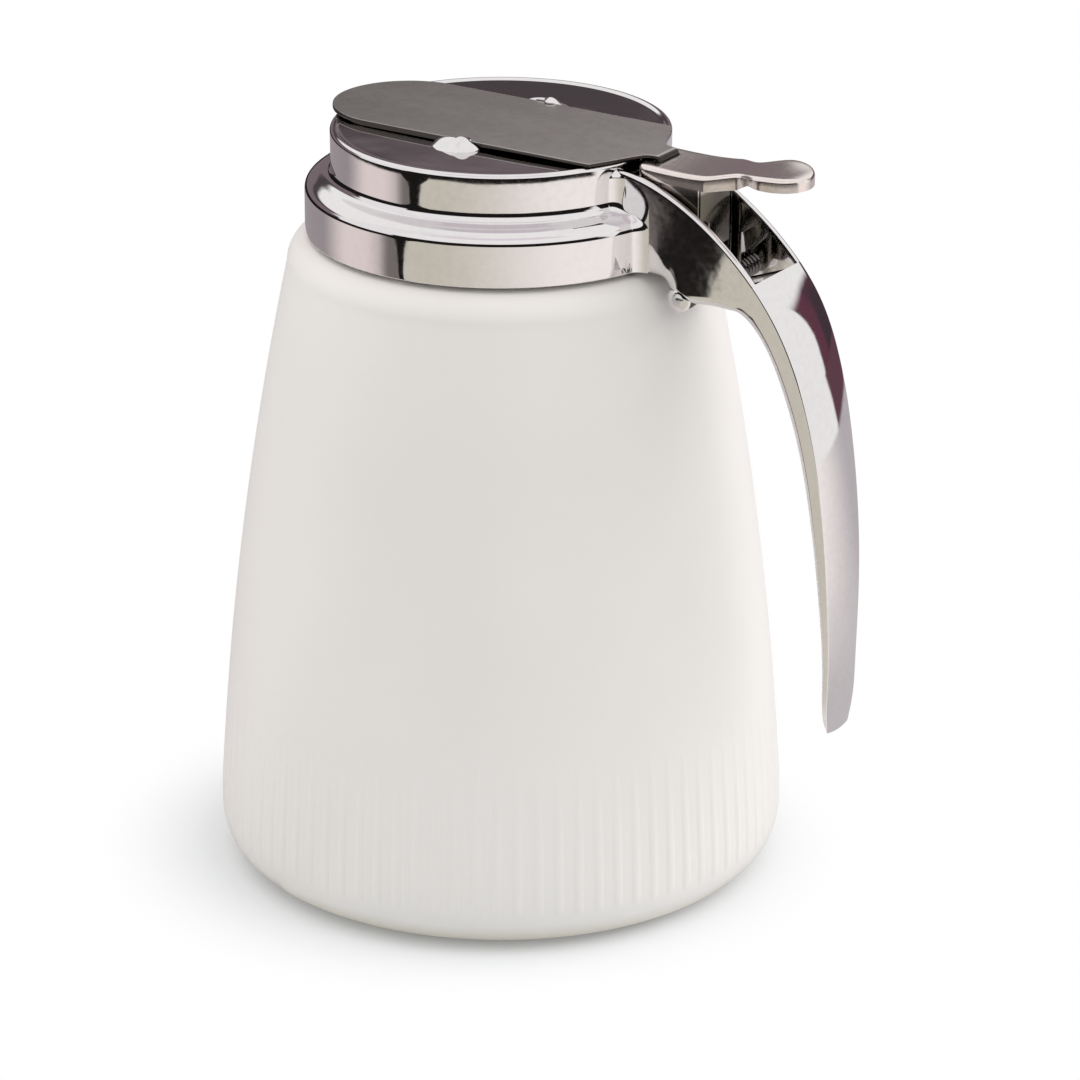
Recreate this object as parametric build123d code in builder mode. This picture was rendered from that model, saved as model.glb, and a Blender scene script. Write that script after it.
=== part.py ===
"""A table syrup dispenser: a moulded jar under a screw-on cast top with a handle.

The thumb lever stands in a box in front of the handle and swings on a low pin. A cross pin in
the lever draws the flat gate back over the top disc, which uncovers the pouring slot. A torsion
spring on the pivot pin closes the gate again. Sizes are in millimetres. The jar's axis is Z, the
table is Z = 0, the handle is at +X and the syrup pours over the rim at -X.
"""

import os
from math import atan2, cos, dist, pi, radians, sin, sqrt

from build123d import *

os.makedirs("parts", exist_ok=True)

# Jar
JAR_RADIUS = 59.0
JAR_WALL = 1.6
FOOT_RADIUS = 49.8
FOOT_WIDTH = 4.0
KICK_UP = 1.5
HEEL_HEIGHT = 9.7
WIDEST_HEIGHT = 13.7
WAIST = (54.3, 65.0)
SHOULDER_CENTRE = (37.4, 128.8)
SHOULDER_ROUND = 6.2
NECK_RADIUS = 36.0
NECK_WALL = 2.0
NECK_TOP = 144.6
NECK_CHAMFER = 0.5

# Screw thread between the neck and the collar, with a break between its quarter turns
THREAD_PITCH = 4.0
THREAD_DEPTH = 1.2
THREAD_ROOT = 2.0
THREAD_CREST = 0.8
THREAD_QUARTERS = 5
THREAD_ARC = 80.0
THREAD_EMBED = 0.3
NECK_THREAD_START = 138.0
COLLAR_THREAD_DROP = 1.6

# Mouth gasket
GASKET_INNER = 32.3
GASKET_OUTER = 37.3
GASKET_THICKNESS = 1.6

# Cast top: collar, bead, cylinder and disc
COLLAR_RADIUS = 39.8
COLLAR_BORE = 37.6
COLLAR_BOTTOM = 135.7
COLLAR_CEILING = 146.3
BEAD_START = 145.2
BEAD_TOP = (38.3, 147.7)
CYLINDER_FOOT = (34.9, 150.6)
CYLINDER_TOP = (34.4, 155.6)
LIP_RADIUS = 34.7
LIP_HEIGHT = 156.7
RIM_RADIUS = 34.1
RIM_HEIGHT = 157.25
DISH_RADIUS = 32.6
DISH_HEIGHT = 156.95
DISC_UNDERSIDE = 155.5
THROAT_RADIUS = 31.9
SLOT_RADIUS = 31.4
SLOT_BACK = -26.4
SLOT_HALF_WIDTH = 11.0

# Ears that hold the gate down
EAR_CENTRE = 16.5
EAR_ROUND = 2.85
EAR_HALF_LENGTH = 4.7
EAR_FACE = 15.85
NUB_RADIUS = 0.7
NUB_TIP = 13.2

# Box and handle, cast in one piece with the collar
BOX_HALF_WIDTH = 9.3
BOX_WALL = 1.3
WEB_START = 65.0
LEDGE_START = 59.0
LEDGE_TOP = 132.6
HANDLE_TIP = 43.5
LUG_RADIUS = 2.7
WALL_FRONT = 44.2

# Gate
NOSE_CENTRE = -22.6
REAR_RADIUS = 34.6
GATE_HALF_WIDTH = 15.5
GATE_UNDERSIDE = 157.5
GATE_THICKNESS = 0.7
REAR_TAPER_END = (36.6, 3.7)
TONGUE_HALF_WIDTH = 3.5
TONGUE_BACK = 40.0
TONGUE_BEND = 1.1
HOOK_GAP = 2.5
HOOK_FLOOR = 151.3
HOOK_TIP = 155.2

# Lever, its pivot and its cross pin
PIVOT = (47.9, 131.5)
PIVOT_RADIUS = 1.35
PIVOT_HALF_LENGTH = 9.5
RUNNING_CLEARANCE = 0.05
DRIVE_PIN = (41.25, 153.5)
DRIVE_RADIUS = 1.0
LEVER_FRONT = 36.6
LEVER_HALF_WIDTH = 7.1
WIDEST_HALF_WIDTH = 7.6
LEVER_SHEET = 1.2
PLATE_TOP = 157.1
PLATE_EDGE = 0.7
FRONT_CORNER = 1.5
NECK_START = 52.6
LEG_HALF_WIDTH = 6.6
LEG_BACK = 50.6
LEG_FOOT = 140.5
LEG_FRONT_LOW = 42.4
LEG_FRONT_HIGH = 38.4
EYE_RADIUS = 2.6
NOTCH_HALF_WIDTH = 4.0
NOTCH_BACK = 40.3
WAIST_X = 58.2
WAIST_HALF_WIDTH = 5.1
TAB_RADIUS = 7.3
TAB_CENTRE = 64.9
TAB_TOP = 159.1
TAB_SKIRT = 2.7
PIN_CHAMFER = 0.25

# Torsion spring round the pivot pin
WIRE_RADIUS = 0.4
COIL_RADIUS = 2.2
COIL_PITCH = 1.25
COIL_START = 135.0
COIL_END = 291 + 5 * 360
COIL_ARCS = 22
LONG_ARM_RISE = 13.5
SHORT_ARM_RUN = 12.1
ARM_GAP = 0.1
KNEE_TANGENT = 0.62


def revolved(outline):
    """A solid of revolution about Z from a function that draws one closed radial outline."""
    with BuildPart() as turned:
        with BuildSketch(Plane.XZ):
            with BuildLine():
                outline()
            make_face()
        revolve(axis=Axis.Z)
    return turned.part


def jar_outside():
    Polyline(
        (0, KICK_UP),
        (FOOT_RADIUS - FOOT_WIDTH - KICK_UP, KICK_UP),
        (FOOT_RADIUS - FOOT_WIDTH, 0),
        (FOOT_RADIUS, 0),
    )
    heel = (JAR_RADIUS - FOOT_RADIUS) * sin(pi / 4), HEEL_HEIGHT * (1 - cos(pi / 4))
    ThreePointArc(
        (FOOT_RADIUS, 0), (FOOT_RADIUS + heel[0], heel[1]), (JAR_RADIUS, HEEL_HEIGHT)
    )
    Line((JAR_RADIUS, HEEL_HEIGHT), (JAR_RADIUS, WIDEST_HEIGHT))
    shoulder = SHOULDER_CENTRE[0] + SHOULDER_ROUND
    ThreePointArc((JAR_RADIUS, WIDEST_HEIGHT), WAIST, (shoulder, SHOULDER_CENTRE[1]))
    CenterArc(SHOULDER_CENTRE, SHOULDER_ROUND, 0, 90)
    shoulder_top = SHOULDER_CENTRE[1] + SHOULDER_ROUND
    Polyline(
        (SHOULDER_CENTRE[0], shoulder_top),
        (NECK_RADIUS, shoulder_top),
        (NECK_RADIUS, NECK_TOP - NECK_CHAMFER),
        (NECK_RADIUS - NECK_CHAMFER, NECK_TOP),
        (0, NECK_TOP),
        (0, KICK_UP),
    )


def jar_inside():
    floor = KICK_UP + JAR_WALL
    heel_round = JAR_RADIUS - FOOT_RADIUS - JAR_WALL
    Line((0, floor), (FOOT_RADIUS, floor))
    CenterArc((FOOT_RADIUS, floor + heel_round), heel_round, 270, 90)
    Line(
        (JAR_RADIUS - JAR_WALL, floor + heel_round), (JAR_RADIUS - JAR_WALL, WIDEST_HEIGHT)
    )
    inner_round = SHOULDER_ROUND - JAR_WALL
    ThreePointArc(
        (JAR_RADIUS - JAR_WALL, WIDEST_HEIGHT),
        (WAIST[0] - JAR_WALL, WAIST[1]),
        (SHOULDER_CENTRE[0] + inner_round, SHOULDER_CENTRE[1]),
    )
    CenterArc(SHOULDER_CENTRE, inner_round, 0, 90)
    mouth = NECK_RADIUS - NECK_WALL
    Polyline(
        (SHOULDER_CENTRE[0], SHOULDER_CENTRE[1] + inner_round),
        (mouth, SHOULDER_CENTRE[1] + inner_round),
        (mouth, NECK_TOP + 1),
        (0, NECK_TOP + 1),
        (0, floor),
    )


def thread_quarter(root_radius, crest_radius):
    """One stretch of thread, centred on +X. Its root is sunk a little into the wall it grows from."""
    sunk = root_radius + (THREAD_EMBED if root_radius > crest_radius else -THREAD_EMBED)
    with BuildPart() as stretch:
        with BuildSketch(Plane.XZ):
            with BuildLine():
                Polyline(
                    (sunk, -THREAD_ROOT / 2),
                    (crest_radius, -THREAD_CREST / 2),
                    (crest_radius, THREAD_CREST / 2),
                    (sunk, THREAD_ROOT / 2),
                    close=True,
                )
            make_face()
        revolve(axis=Axis.Z, revolution_arc=THREAD_ARC)
    return stretch.part.rotate(Axis.Z, -THREAD_ARC / 2)


def thread_planes(start_height, first_quarter):
    """Where the quarter turns sit: each is a flat ring tilted by the thread's lead angle."""
    lead = atan2(THREAD_PITCH, 2 * pi * NECK_RADIUS)
    planes = []
    for quarter in range(first_quarter, first_quarter + THREAD_QUARTERS):
        turn = quarter * pi / 2
        outward = (cos(turn), sin(turn), 0)
        normal = (sin(turn) * sin(lead), -cos(turn) * sin(lead), cos(lead))
        height = start_height + THREAD_PITCH * quarter / 4
        planes.append(Plane(origin=(0, 0, height), x_dir=outward, z_dir=normal))
    return planes


# Jar
with BuildPart() as jar:
    add(revolved(jar_outside))
    neck_quarter = thread_quarter(NECK_RADIUS, NECK_RADIUS + THREAD_DEPTH)
    with Locations(*thread_planes(NECK_THREAD_START, 0)):
        add(neck_quarter)
    add(revolved(jar_inside), mode=Mode.SUBTRACT)
jar.part.label = "jar"
export_step(jar.part, "parts/jar.step")

# Gasket between the jar's rim and the ceiling of the collar
with BuildPart() as gasket:
    with BuildSketch(Plane.XY.offset(NECK_TOP)):
        Circle(GASKET_OUTER)
        Circle(GASKET_INNER, mode=Mode.SUBTRACT)
    extrude(amount=GASKET_THICKNESS)
gasket.part.label = "gasket"
export_step(gasket.part, "parts/gasket.step")


def collar_outside():
    Polyline((0, COLLAR_BOTTOM), (COLLAR_RADIUS, COLLAR_BOTTOM), (COLLAR_RADIUS, BEAD_START))
    TangentArc((COLLAR_RADIUS, BEAD_START), BEAD_TOP, tangent=(0, 1))
    Spline(
        BEAD_TOP, (CYLINDER_FOOT[0] + 1, CYLINDER_FOOT[1] - 1.6), CYLINDER_FOOT,
        tangents=[(-1, 0.05), (-0.05, 1)],
    )
    Line(CYLINDER_FOOT, CYLINDER_TOP)
    Line(CYLINDER_TOP, (LIP_RADIUS, LIP_HEIGHT - 0.3))
    TangentArc((LIP_RADIUS, LIP_HEIGHT - 0.3), (RIM_RADIUS, RIM_HEIGHT), tangent=(0, 1))
    Polyline(
        (RIM_RADIUS, RIM_HEIGHT),
        (DISH_RADIUS + 0.5, RIM_HEIGHT),
        (DISH_RADIUS, DISH_HEIGHT),
        (0, DISH_HEIGHT),
        (0, COLLAR_BOTTOM),
    )


def collar_inside():
    Polyline(
        (0, COLLAR_BOTTOM - 1),
        (COLLAR_BORE, COLLAR_BOTTOM - 1),
        (COLLAR_BORE, COLLAR_CEILING),
        (THROAT_RADIUS, COLLAR_CEILING),
        (THROAT_RADIUS, DISC_UNDERSIDE),
        (0, DISC_UNDERSIDE),
        close=True,
    )


def handle_side():
    """The box and the handle seen from the side."""
    back = Spline(
        (31, 156.4), (39, 154.8), (52.9, 148.2), (62.5, 140.3), (69.8, 131.3),
        (75.1, 119.1), (79.0, 103.3), (82.0, 74.3), (82.2, 57.3), (81.6, HANDLE_TIP + 1),
    )
    tip = (80.4, HANDLE_TIP)
    Line(back @ 1, tip)
    inner = Spline(
        tip, (80.3, 57.4), (79.7, 69.9), (77.2, 91.8), (74.4, 106.1), (70.2, 119.5),
        (64.8, 128.9), (60.2, 131.4),
        tangents=[(0, 1), (-1, 0)],
    )
    lug_back = (PIVOT[0] + LUG_RADIUS, PIVOT[1])
    lug_low = (PIVOT[0], PIVOT[1] - LUG_RADIUS)
    lug_front = (PIVOT[0] - LUG_RADIUS, PIVOT[1])
    Line(inner @ 1, lug_back)
    ThreePointArc(lug_back, lug_low, lug_front)
    Polyline(lug_front, (WALL_FRONT, COLLAR_BOTTOM), (31, COLLAR_BOTTOM), (31, 156.4))


def handle_width():
    """Half of the handle's front view: it narrows steadily from the box to the tip."""
    side = Spline(
        (BOX_HALF_WIDTH, 134), (8.5, 119), (7.4, 100), (6.4, 74), (5.5, 57), (4.4, HANDLE_TIP + 1.5),
        tangents=[(0, -1), (-0.35, -1)],
    )
    ThreePointArc(side @ 1, (3.3, HANDLE_TIP + 0.3), (2.0, HANDLE_TIP))
    Line((2.0, HANDLE_TIP), (0, HANDLE_TIP))
    Polyline((0, 160), (BOX_HALF_WIDTH, 160), side @ 0)


# Box and handle, before they are joined to the collar
with BuildPart() as box_and_handle:
    with BuildSketch(Plane.XZ):
        with BuildLine():
            handle_side()
        make_face()
    extrude(amount=BOX_HALF_WIDTH, both=True)
    with BuildSketch(Plane.YZ) as front_view:
        with BuildLine() as front_line:
            handle_width()
            mirror(front_line.line, about=Plane.YZ)
        make_face()
    extrude(amount=90, mode=Mode.INTERSECT)
    with BuildSketch(Plane.XZ):
        with BuildLine():
            Polyline(
                (30, 120), (LEDGE_START, 120), (LEDGE_START, LEDGE_TOP),
                (WEB_START, LEDGE_TOP), (WEB_START, 170), (30, 170), close=True,
            )
        make_face()
    extrude(amount=BOX_HALF_WIDTH - BOX_WALL, both=True, mode=Mode.SUBTRACT)


# Cast top
with BuildPart() as top_casting:
    add(revolved(collar_outside))
    add(box_and_handle.part)
    for side in (-1, 1):
        with BuildSketch(Plane.XY.offset(DISH_HEIGHT)) as ear_outline:
            with BuildLine():
                ends = (-EAR_HALF_LENGTH, side * EAR_CENTRE), (EAR_HALF_LENGTH, side * EAR_CENTRE)
                ThreePointArc(ends[0], (0, side * (EAR_CENTRE + EAR_ROUND)), ends[1])
                Line(*ends)
            make_face()
        revolve(axis=Axis((0, side * EAR_CENTRE, DISH_HEIGHT), (1, 0, 0)))
    with BuildSketch(Plane.XY.offset(DISH_HEIGHT)):
        Rectangle(4 * EAR_HALF_LENGTH, 2 * EAR_FACE)
    extrude(amount=2 * EAR_ROUND, mode=Mode.SUBTRACT)
    nub_height = GATE_UNDERSIDE + GATE_THICKNESS + 0.25 + NUB_RADIUS
    with Locations((0, NUB_TIP + NUB_RADIUS, nub_height), (0, -NUB_TIP - NUB_RADIUS, nub_height)):
        Sphere(NUB_RADIUS)
    with BuildSketch(Plane.XZ.offset(-EAR_CENTRE)):
        with Locations((0, nub_height)):
            Circle(NUB_RADIUS)
    nub_length = EAR_CENTRE - NUB_TIP - NUB_RADIUS
    extrude(amount=nub_length)
    with BuildSketch(Plane.XZ.offset(EAR_CENTRE)):
        with Locations((0, nub_height)):
            Circle(NUB_RADIUS)
    extrude(amount=-nub_length)
    add(revolved(collar_inside), mode=Mode.SUBTRACT)
    with BuildSketch(Plane.XY.offset(DISC_UNDERSIDE - 1)):
        Circle(SLOT_RADIUS)
        with Locations((SLOT_BACK - SLOT_RADIUS / 2, 0)):
            Rectangle(SLOT_RADIUS, 2 * SLOT_HALF_WIDTH, mode=Mode.INTERSECT)
    extrude(amount=4, mode=Mode.SUBTRACT)
    collar_quarter = thread_quarter(COLLAR_BORE, COLLAR_BORE - THREAD_DEPTH)
    with Locations(*thread_planes(NECK_THREAD_START - COLLAR_THREAD_DROP, 1)):
        add(collar_quarter)
    with BuildSketch(Plane.XZ):
        with Locations(PIVOT):
            Circle(PIVOT_RADIUS)
    extrude(amount=PIVOT_HALF_LENGTH, both=True, mode=Mode.SUBTRACT)
top_casting.part.label = "top_casting"
export_step(top_casting.part, "parts/top_casting.step")

# Gate: a round-nosed strip whose tongue is bent down and hooked under the lever's cross pin
with BuildPart() as gate:
    with BuildSketch(Plane.XY.offset(GATE_UNDERSIDE)) as strip:
        with BuildLine() as half_strip:
            CenterArc((NOSE_CENTRE, 0), GATE_HALF_WIDTH, 180, -90)
            Polyline(
                (NOSE_CENTRE, GATE_HALF_WIDTH),
                (sqrt(REAR_RADIUS**2 - GATE_HALF_WIDTH**2), GATE_HALF_WIDTH),
                REAR_TAPER_END,
                (REAR_TAPER_END[0], TONGUE_HALF_WIDTH),
                (TONGUE_BACK - TONGUE_BEND, TONGUE_HALF_WIDTH),
                (TONGUE_BACK - TONGUE_BEND, 0),
            )
            mirror(half_strip.line, about=Plane.XZ)
        make_face()
    extrude(amount=GATE_THICKNESS)
    with BuildSketch(Plane.XZ):
        with BuildLine():
            gate_top = GATE_UNDERSIDE + GATE_THICKNESS
            bend_start = TONGUE_BACK - TONGUE_BEND
            bend_height = gate_top - TONGUE_BEND
            hook_wall = TONGUE_BACK - GATE_THICKNESS
            hook_end = TONGUE_BACK + HOOK_GAP + GATE_THICKNESS
            Line((bend_start - 1, gate_top), (bend_start, gate_top))
            CenterArc((bend_start, bend_height), TONGUE_BEND, 90, -90)
            Polyline(
                (TONGUE_BACK, bend_height),
                (TONGUE_BACK, HOOK_FLOOR + GATE_THICKNESS),
                (TONGUE_BACK + HOOK_GAP, HOOK_FLOOR + GATE_THICKNESS),
                (TONGUE_BACK + HOOK_GAP, HOOK_TIP),
                (hook_end, HOOK_TIP),
                (hook_end, HOOK_FLOOR),
                (hook_wall, HOOK_FLOOR),
                (hook_wall, bend_height),
            )
            CenterArc((bend_start, bend_height), TONGUE_BEND - GATE_THICKNESS, 0, 90)
            Polyline(
                (bend_start, GATE_UNDERSIDE), (bend_start - 1, GATE_UNDERSIDE),
                (bend_start - 1, gate_top),
            )
        make_face()
    extrude(amount=TONGUE_HALF_WIDTH, both=True)
gate.part.label = "gate"
export_step(gate.part, "parts/gate.step")


def lever_plan(inset):
    """Half of the lever seen from above: a straight front, a waist and a round thumb tab."""
    wide = LEVER_HALF_WIDTH - inset
    widest = WIDEST_HALF_WIDTH - inset
    waist = WAIST_HALF_WIDTH - inset
    tab = TAB_RADIUS - inset
    front = LEVER_FRONT + inset
    Spline(
        (NECK_START, widest), (WAIST_X, waist), (TAB_CENTRE, tab), tangents=[(1, -0.25), (1, 0)]
    )
    CenterArc((TAB_CENTRE, 0), tab, 0, 90)
    Line((NECK_START, widest), (front + FRONT_CORNER, wide))
    RadiusArc((front, wide - FRONT_CORNER), (front + FRONT_CORNER, wide), FRONT_CORNER)
    Line((front, 0), (front, wide - FRONT_CORNER))


def lever_side(drop, skirt):
    """The lever's plate seen from the side, from its top line less drop to its lower edge."""
    end = TAB_CENTRE + TAB_RADIUS + 1
    top = Spline(
        (LEVER_FRONT - 1, PLATE_TOP - drop), (NECK_START, PLATE_TOP + 0.1 - drop),
        (WAIST_X, PLATE_TOP + 1.0 - drop), (TAB_CENTRE, TAB_TOP - drop), (end, TAB_TOP - 0.7 - drop),
    )
    Polyline(
        top @ 1, (end, TAB_TOP - 0.7 - skirt), (TAB_CENTRE - 4, TAB_TOP - skirt),
        (WAIST_X, PLATE_TOP + 0.6 - skirt), (LEVER_FRONT - 1, PLATE_TOP - skirt), top @ 0,
    )


def lever_plate(inset, drop, skirt):
    """A block with the lever's plan, cut to its side view."""
    with BuildPart() as plate:
        with BuildSketch(Plane.XY.offset(140)):
            with BuildLine() as half_plan:
                lever_plan(inset)
                mirror(half_plan.line, about=Plane.XZ)
            make_face()
        extrude(amount=30)
        with BuildSketch(Plane.XZ):
            with BuildLine():
                lever_side(drop, skirt)
            make_face()
        extrude(amount=20, both=True, mode=Mode.INTERSECT)
    return plate.part


# Thumb lever: a skirted plate on two legs that are joined at the back by a web
with BuildPart() as thumb_lever:
    add(lever_plate(0, 0, TAB_SKIRT))
    top_face = thumb_lever.faces().sort_by(Axis.Z)[-1]
    fillet(top_face.edges(), radius=PLATE_EDGE)
    add(lever_plate(LEVER_SHEET, LEVER_SHEET, 10), mode=Mode.SUBTRACT)
    with BuildSketch(Plane.XZ):
        with BuildLine():
            Polyline(
                (LEG_BACK, PLATE_TOP - LEVER_SHEET),
                (LEG_BACK, LEG_FOOT),
                (PIVOT[0] + EYE_RADIUS, PIVOT[1]),
            )
            ThreePointArc(
                (PIVOT[0] + EYE_RADIUS, PIVOT[1]),
                (PIVOT[0], PIVOT[1] - EYE_RADIUS),
                (PIVOT[0] - EYE_RADIUS, PIVOT[1]),
            )
            Polyline(
                (PIVOT[0] - EYE_RADIUS, PIVOT[1]),
                (LEG_FRONT_LOW, 147.0),
                (LEG_FRONT_HIGH, 151.5),
                (LEG_FRONT_HIGH, PLATE_TOP - LEVER_SHEET),
                (LEG_BACK, PLATE_TOP - LEVER_SHEET),
            )
        make_face()
    extrude(amount=LEG_HALF_WIDTH, both=True)
    with BuildSketch(Plane.XZ):
        with BuildLine():
            Polyline(
                (30, 120),
                (60, 120),
                (60, LEG_FOOT),
                (LEG_BACK - LEVER_SHEET, LEG_FOOT),
                (LEG_BACK - LEVER_SHEET, PLATE_TOP - LEVER_SHEET),
                (30, PLATE_TOP - LEVER_SHEET),
                close=True,
            )
        make_face()
    extrude(amount=LEG_HALF_WIDTH - LEVER_SHEET, both=True, mode=Mode.SUBTRACT)
    with BuildSketch(Plane.XY.offset(PLATE_TOP - TAB_SKIRT - 1)):
        with Locations(((NOTCH_BACK + LEVER_FRONT) / 2 - 1, 0)):
            Rectangle(NOTCH_BACK - LEVER_FRONT + 2, 2 * NOTCH_HALF_WIDTH)
    extrude(amount=6, mode=Mode.SUBTRACT)
    with BuildSketch(Plane.XZ):
        with Locations(PIVOT):
            Circle(PIVOT_RADIUS + RUNNING_CLEARANCE)
        with Locations(DRIVE_PIN):
            Circle(DRIVE_RADIUS)
    extrude(amount=2 * LEG_HALF_WIDTH, both=True, mode=Mode.SUBTRACT)
thumb_lever.part.label = "thumb_lever"
export_step(thumb_lever.part, "parts/thumb_lever.step")


def cross_pin(centre, radius, half_length):
    """A plain pin across the lever, with its ends broken."""
    with BuildPart() as pin:
        with BuildSketch(Plane.XZ):
            with Locations(centre):
                Circle(radius)
        extrude(amount=half_length, both=True)
        ends = pin.edges().group_by(Axis.Y)
        chamfer(ends[0] + ends[-1], length=PIN_CHAMFER)
    return pin.part


pivot_pin = cross_pin(PIVOT, PIVOT_RADIUS, PIVOT_HALF_LENGTH)
pivot_pin.label = "pivot_pin"
export_step(pivot_pin, "parts/pivot_pin.step")

drive_pin = cross_pin(DRIVE_PIN, DRIVE_RADIUS, LEG_HALF_WIDTH)
drive_pin.label = "drive_pin"
export_step(drive_pin, "parts/drive_pin.step")


def coil_point(angle):
    """A point on the spring's coil. The angle runs from the coil's first end to its last."""
    along = COIL_PITCH * (angle - (COIL_START + COIL_END) / 2) / 360
    return (
        PIVOT[0] + COIL_RADIUS * cos(radians(angle)),
        along,
        PIVOT[1] + COIL_RADIUS * sin(radians(angle)),
    )


# Torsion spring: one arm stands behind the lever's web, the other lies on the casting's ledge
with BuildPart() as torsion_spring:
    with BuildLine() as wire:
        first = coil_point(COIL_START)
        behind_web = LEG_BACK + WIRE_RADIUS + ARM_GAP
        rise = (behind_web - first[0]) / -sin(radians(COIL_START)) * cos(radians(COIL_START))
        knee = (behind_web, first[1], first[2] + rise + KNEE_TANGENT)
        slant = KNEE_TANGENT * sin(pi / 4)
        knee_end = (behind_web - slant, first[1], first[2] + rise - slant)
        Line((behind_web, first[1], first[2] + LONG_ARM_RISE), knee)
        TangentArc(knee, knee_end, tangent=(0, 0, -1))
        Line(knee_end, first)
        step = (COIL_END - COIL_START) / COIL_ARCS
        for arc in range(COIL_ARCS):
            start = COIL_START + arc * step
            ThreePointArc(coil_point(start), coil_point(start + step / 2), coil_point(start + step))
        last = coil_point(COIL_END)
        slope = -cos(radians(COIL_END)) / sin(radians(COIL_END))
        Line(last, (last[0] + SHORT_ARM_RUN, last[1], last[2] + SHORT_ARM_RUN * slope))
    with BuildSketch(Plane(origin=wire.line @ 0, z_dir=wire.line % 0)):
        Circle(WIRE_RADIUS)
    sweep(path=wire.line)
torsion_spring.part.label = "torsion_spring"
export_step(torsion_spring.part, "parts/torsion_spring.step")

# The least gap between neighbouring turns of the coil, measured on points along its centre line
turn_gaps = [
    dist(coil_point(angle), coil_point(angle + 360 + shift)) - 2 * WIRE_RADIUS
    for angle in range(int(COIL_START), COIL_END - 400, 10)
    for shift in range(-40, 41, 5)
]
print("least gap between the spring's turns, mm:", round(min(turn_gaps), 2))
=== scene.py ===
# %% [markdown]
# # A table syrup dispenser
# This file dresses the packed model of a syrup dispenser: a milky ribbed jar under a chrome-plated
# cast top with a handle, a brushed gate, and a nickel thumb lever. Every piece is placed in the
# same frame as the solids, so nothing is fitted afterwards. The first cell loads that frame and
# keeps its parts, whose boxes give some of the sizes below.

# %% Load the frame
from math import atan2, cos, degrees, hypot, pi, radians, sin, sqrt

import bmesh
import bpy
import numpy as np
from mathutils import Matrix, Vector


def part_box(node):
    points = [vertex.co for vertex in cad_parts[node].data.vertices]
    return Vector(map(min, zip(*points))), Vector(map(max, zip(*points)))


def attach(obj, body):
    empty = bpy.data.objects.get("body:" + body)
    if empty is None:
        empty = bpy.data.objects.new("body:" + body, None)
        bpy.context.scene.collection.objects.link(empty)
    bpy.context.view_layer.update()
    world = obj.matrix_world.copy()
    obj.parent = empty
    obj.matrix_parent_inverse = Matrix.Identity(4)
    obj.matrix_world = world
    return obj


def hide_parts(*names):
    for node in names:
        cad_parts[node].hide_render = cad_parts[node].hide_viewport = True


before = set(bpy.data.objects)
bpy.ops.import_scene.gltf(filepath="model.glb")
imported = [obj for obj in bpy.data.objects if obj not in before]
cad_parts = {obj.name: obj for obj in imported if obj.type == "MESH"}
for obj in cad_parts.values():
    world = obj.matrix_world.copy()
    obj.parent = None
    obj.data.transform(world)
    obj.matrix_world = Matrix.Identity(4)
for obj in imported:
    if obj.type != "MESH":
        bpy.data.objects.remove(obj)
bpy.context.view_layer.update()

print("nodes:", sorted(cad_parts))

# %% [markdown]
# ## Working in millimetres
# The object is small and its drawing is in millimetres, so the outlines below are too. One scale
# factor turns them into Blender's metres when a mesh is made. A piece's object stays at the origin
# and its place is in its vertices.

# %% Turning points and faces into a piece
MM = 0.001
SHARP_ANGLE = radians(38)


def set_shading(mesh, sharp_angle=SHARP_ANGLE):
    """Smooth faces, with a crease wherever two faces meet at more than the sharp angle."""
    work = bmesh.new()
    work.from_mesh(mesh)
    bmesh.ops.remove_doubles(work, verts=work.verts, dist=1e-7)
    bmesh.ops.dissolve_degenerate(work, edges=work.edges, dist=1e-8)
    bmesh.ops.recalc_face_normals(work, faces=work.faces)
    for face in work.faces:
        face.smooth = True
    for edge in work.edges:
        edge.smooth = len(edge.link_faces) == 2 and edge.calc_face_angle(0) < sharp_angle
    work.to_mesh(mesh)
    work.free()


def placed(name, data):
    """A new object in the scene, with the given mesh, camera or lamp."""
    piece = bpy.data.objects.new(name, data)
    bpy.context.scene.collection.objects.link(piece)
    return piece


def piece_from(name, points, faces, sharp_angle=SHARP_ANGLE):
    """A mesh object from points in millimetres and faces as lists of point numbers."""
    mesh = bpy.data.meshes.new(name)
    mesh.from_pydata([tuple(c * MM for c in p) for p in points], [], faces)
    set_shading(mesh, sharp_angle)
    return placed(name, mesh)


def loft(name, rings, closed=False, sharp_angle=SHARP_ANGLE):
    """A skin over rings with the same number of points. Open lofts get a cap at each end."""
    rows, across = len(rings), len(rings[0])
    points = [p for ring in rings for p in ring]
    faces = []
    for row in range(rows if closed else rows - 1):
        low, high = row * across, (row + 1) % rows * across
        for k in range(across):
            after = (k + 1) % across
            faces.append((low + k, low + after, high + after, high + k))
    if not closed:
        faces.append(tuple(range(across)))
        faces.append(tuple(range((rows - 1) * across, rows * across)))
    return piece_from(name, points, faces, sharp_angle)


def turned(name, outline, steps=192, sharp_angle=SHARP_ANGLE):
    """A closed outline of (radius, height) turned round the Z axis."""
    rings = []
    for step in range(steps):
        angle = 2 * pi * step / steps
        rings.append([(r * cos(angle), r * sin(angle), z) for r, z in outline])
    return loft(name, rings, closed=True, sharp_angle=sharp_angle)


def joined(name, parts):
    """Several meshes as one object. The parts are used up."""
    mesh = bpy.data.meshes.new(name)
    work = bmesh.new()
    for part in parts:
        work.from_mesh(part.data)
        bpy.data.objects.remove(part)
    work.to_mesh(mesh)
    work.free()
    return placed(name, mesh)


def plain_mesh(piece):
    """The mesh that a piece has once its modifiers have run."""
    evaluated = piece.evaluated_get(bpy.context.evaluated_depsgraph_get())
    return bpy.data.meshes.new_from_object(evaluated)


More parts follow.
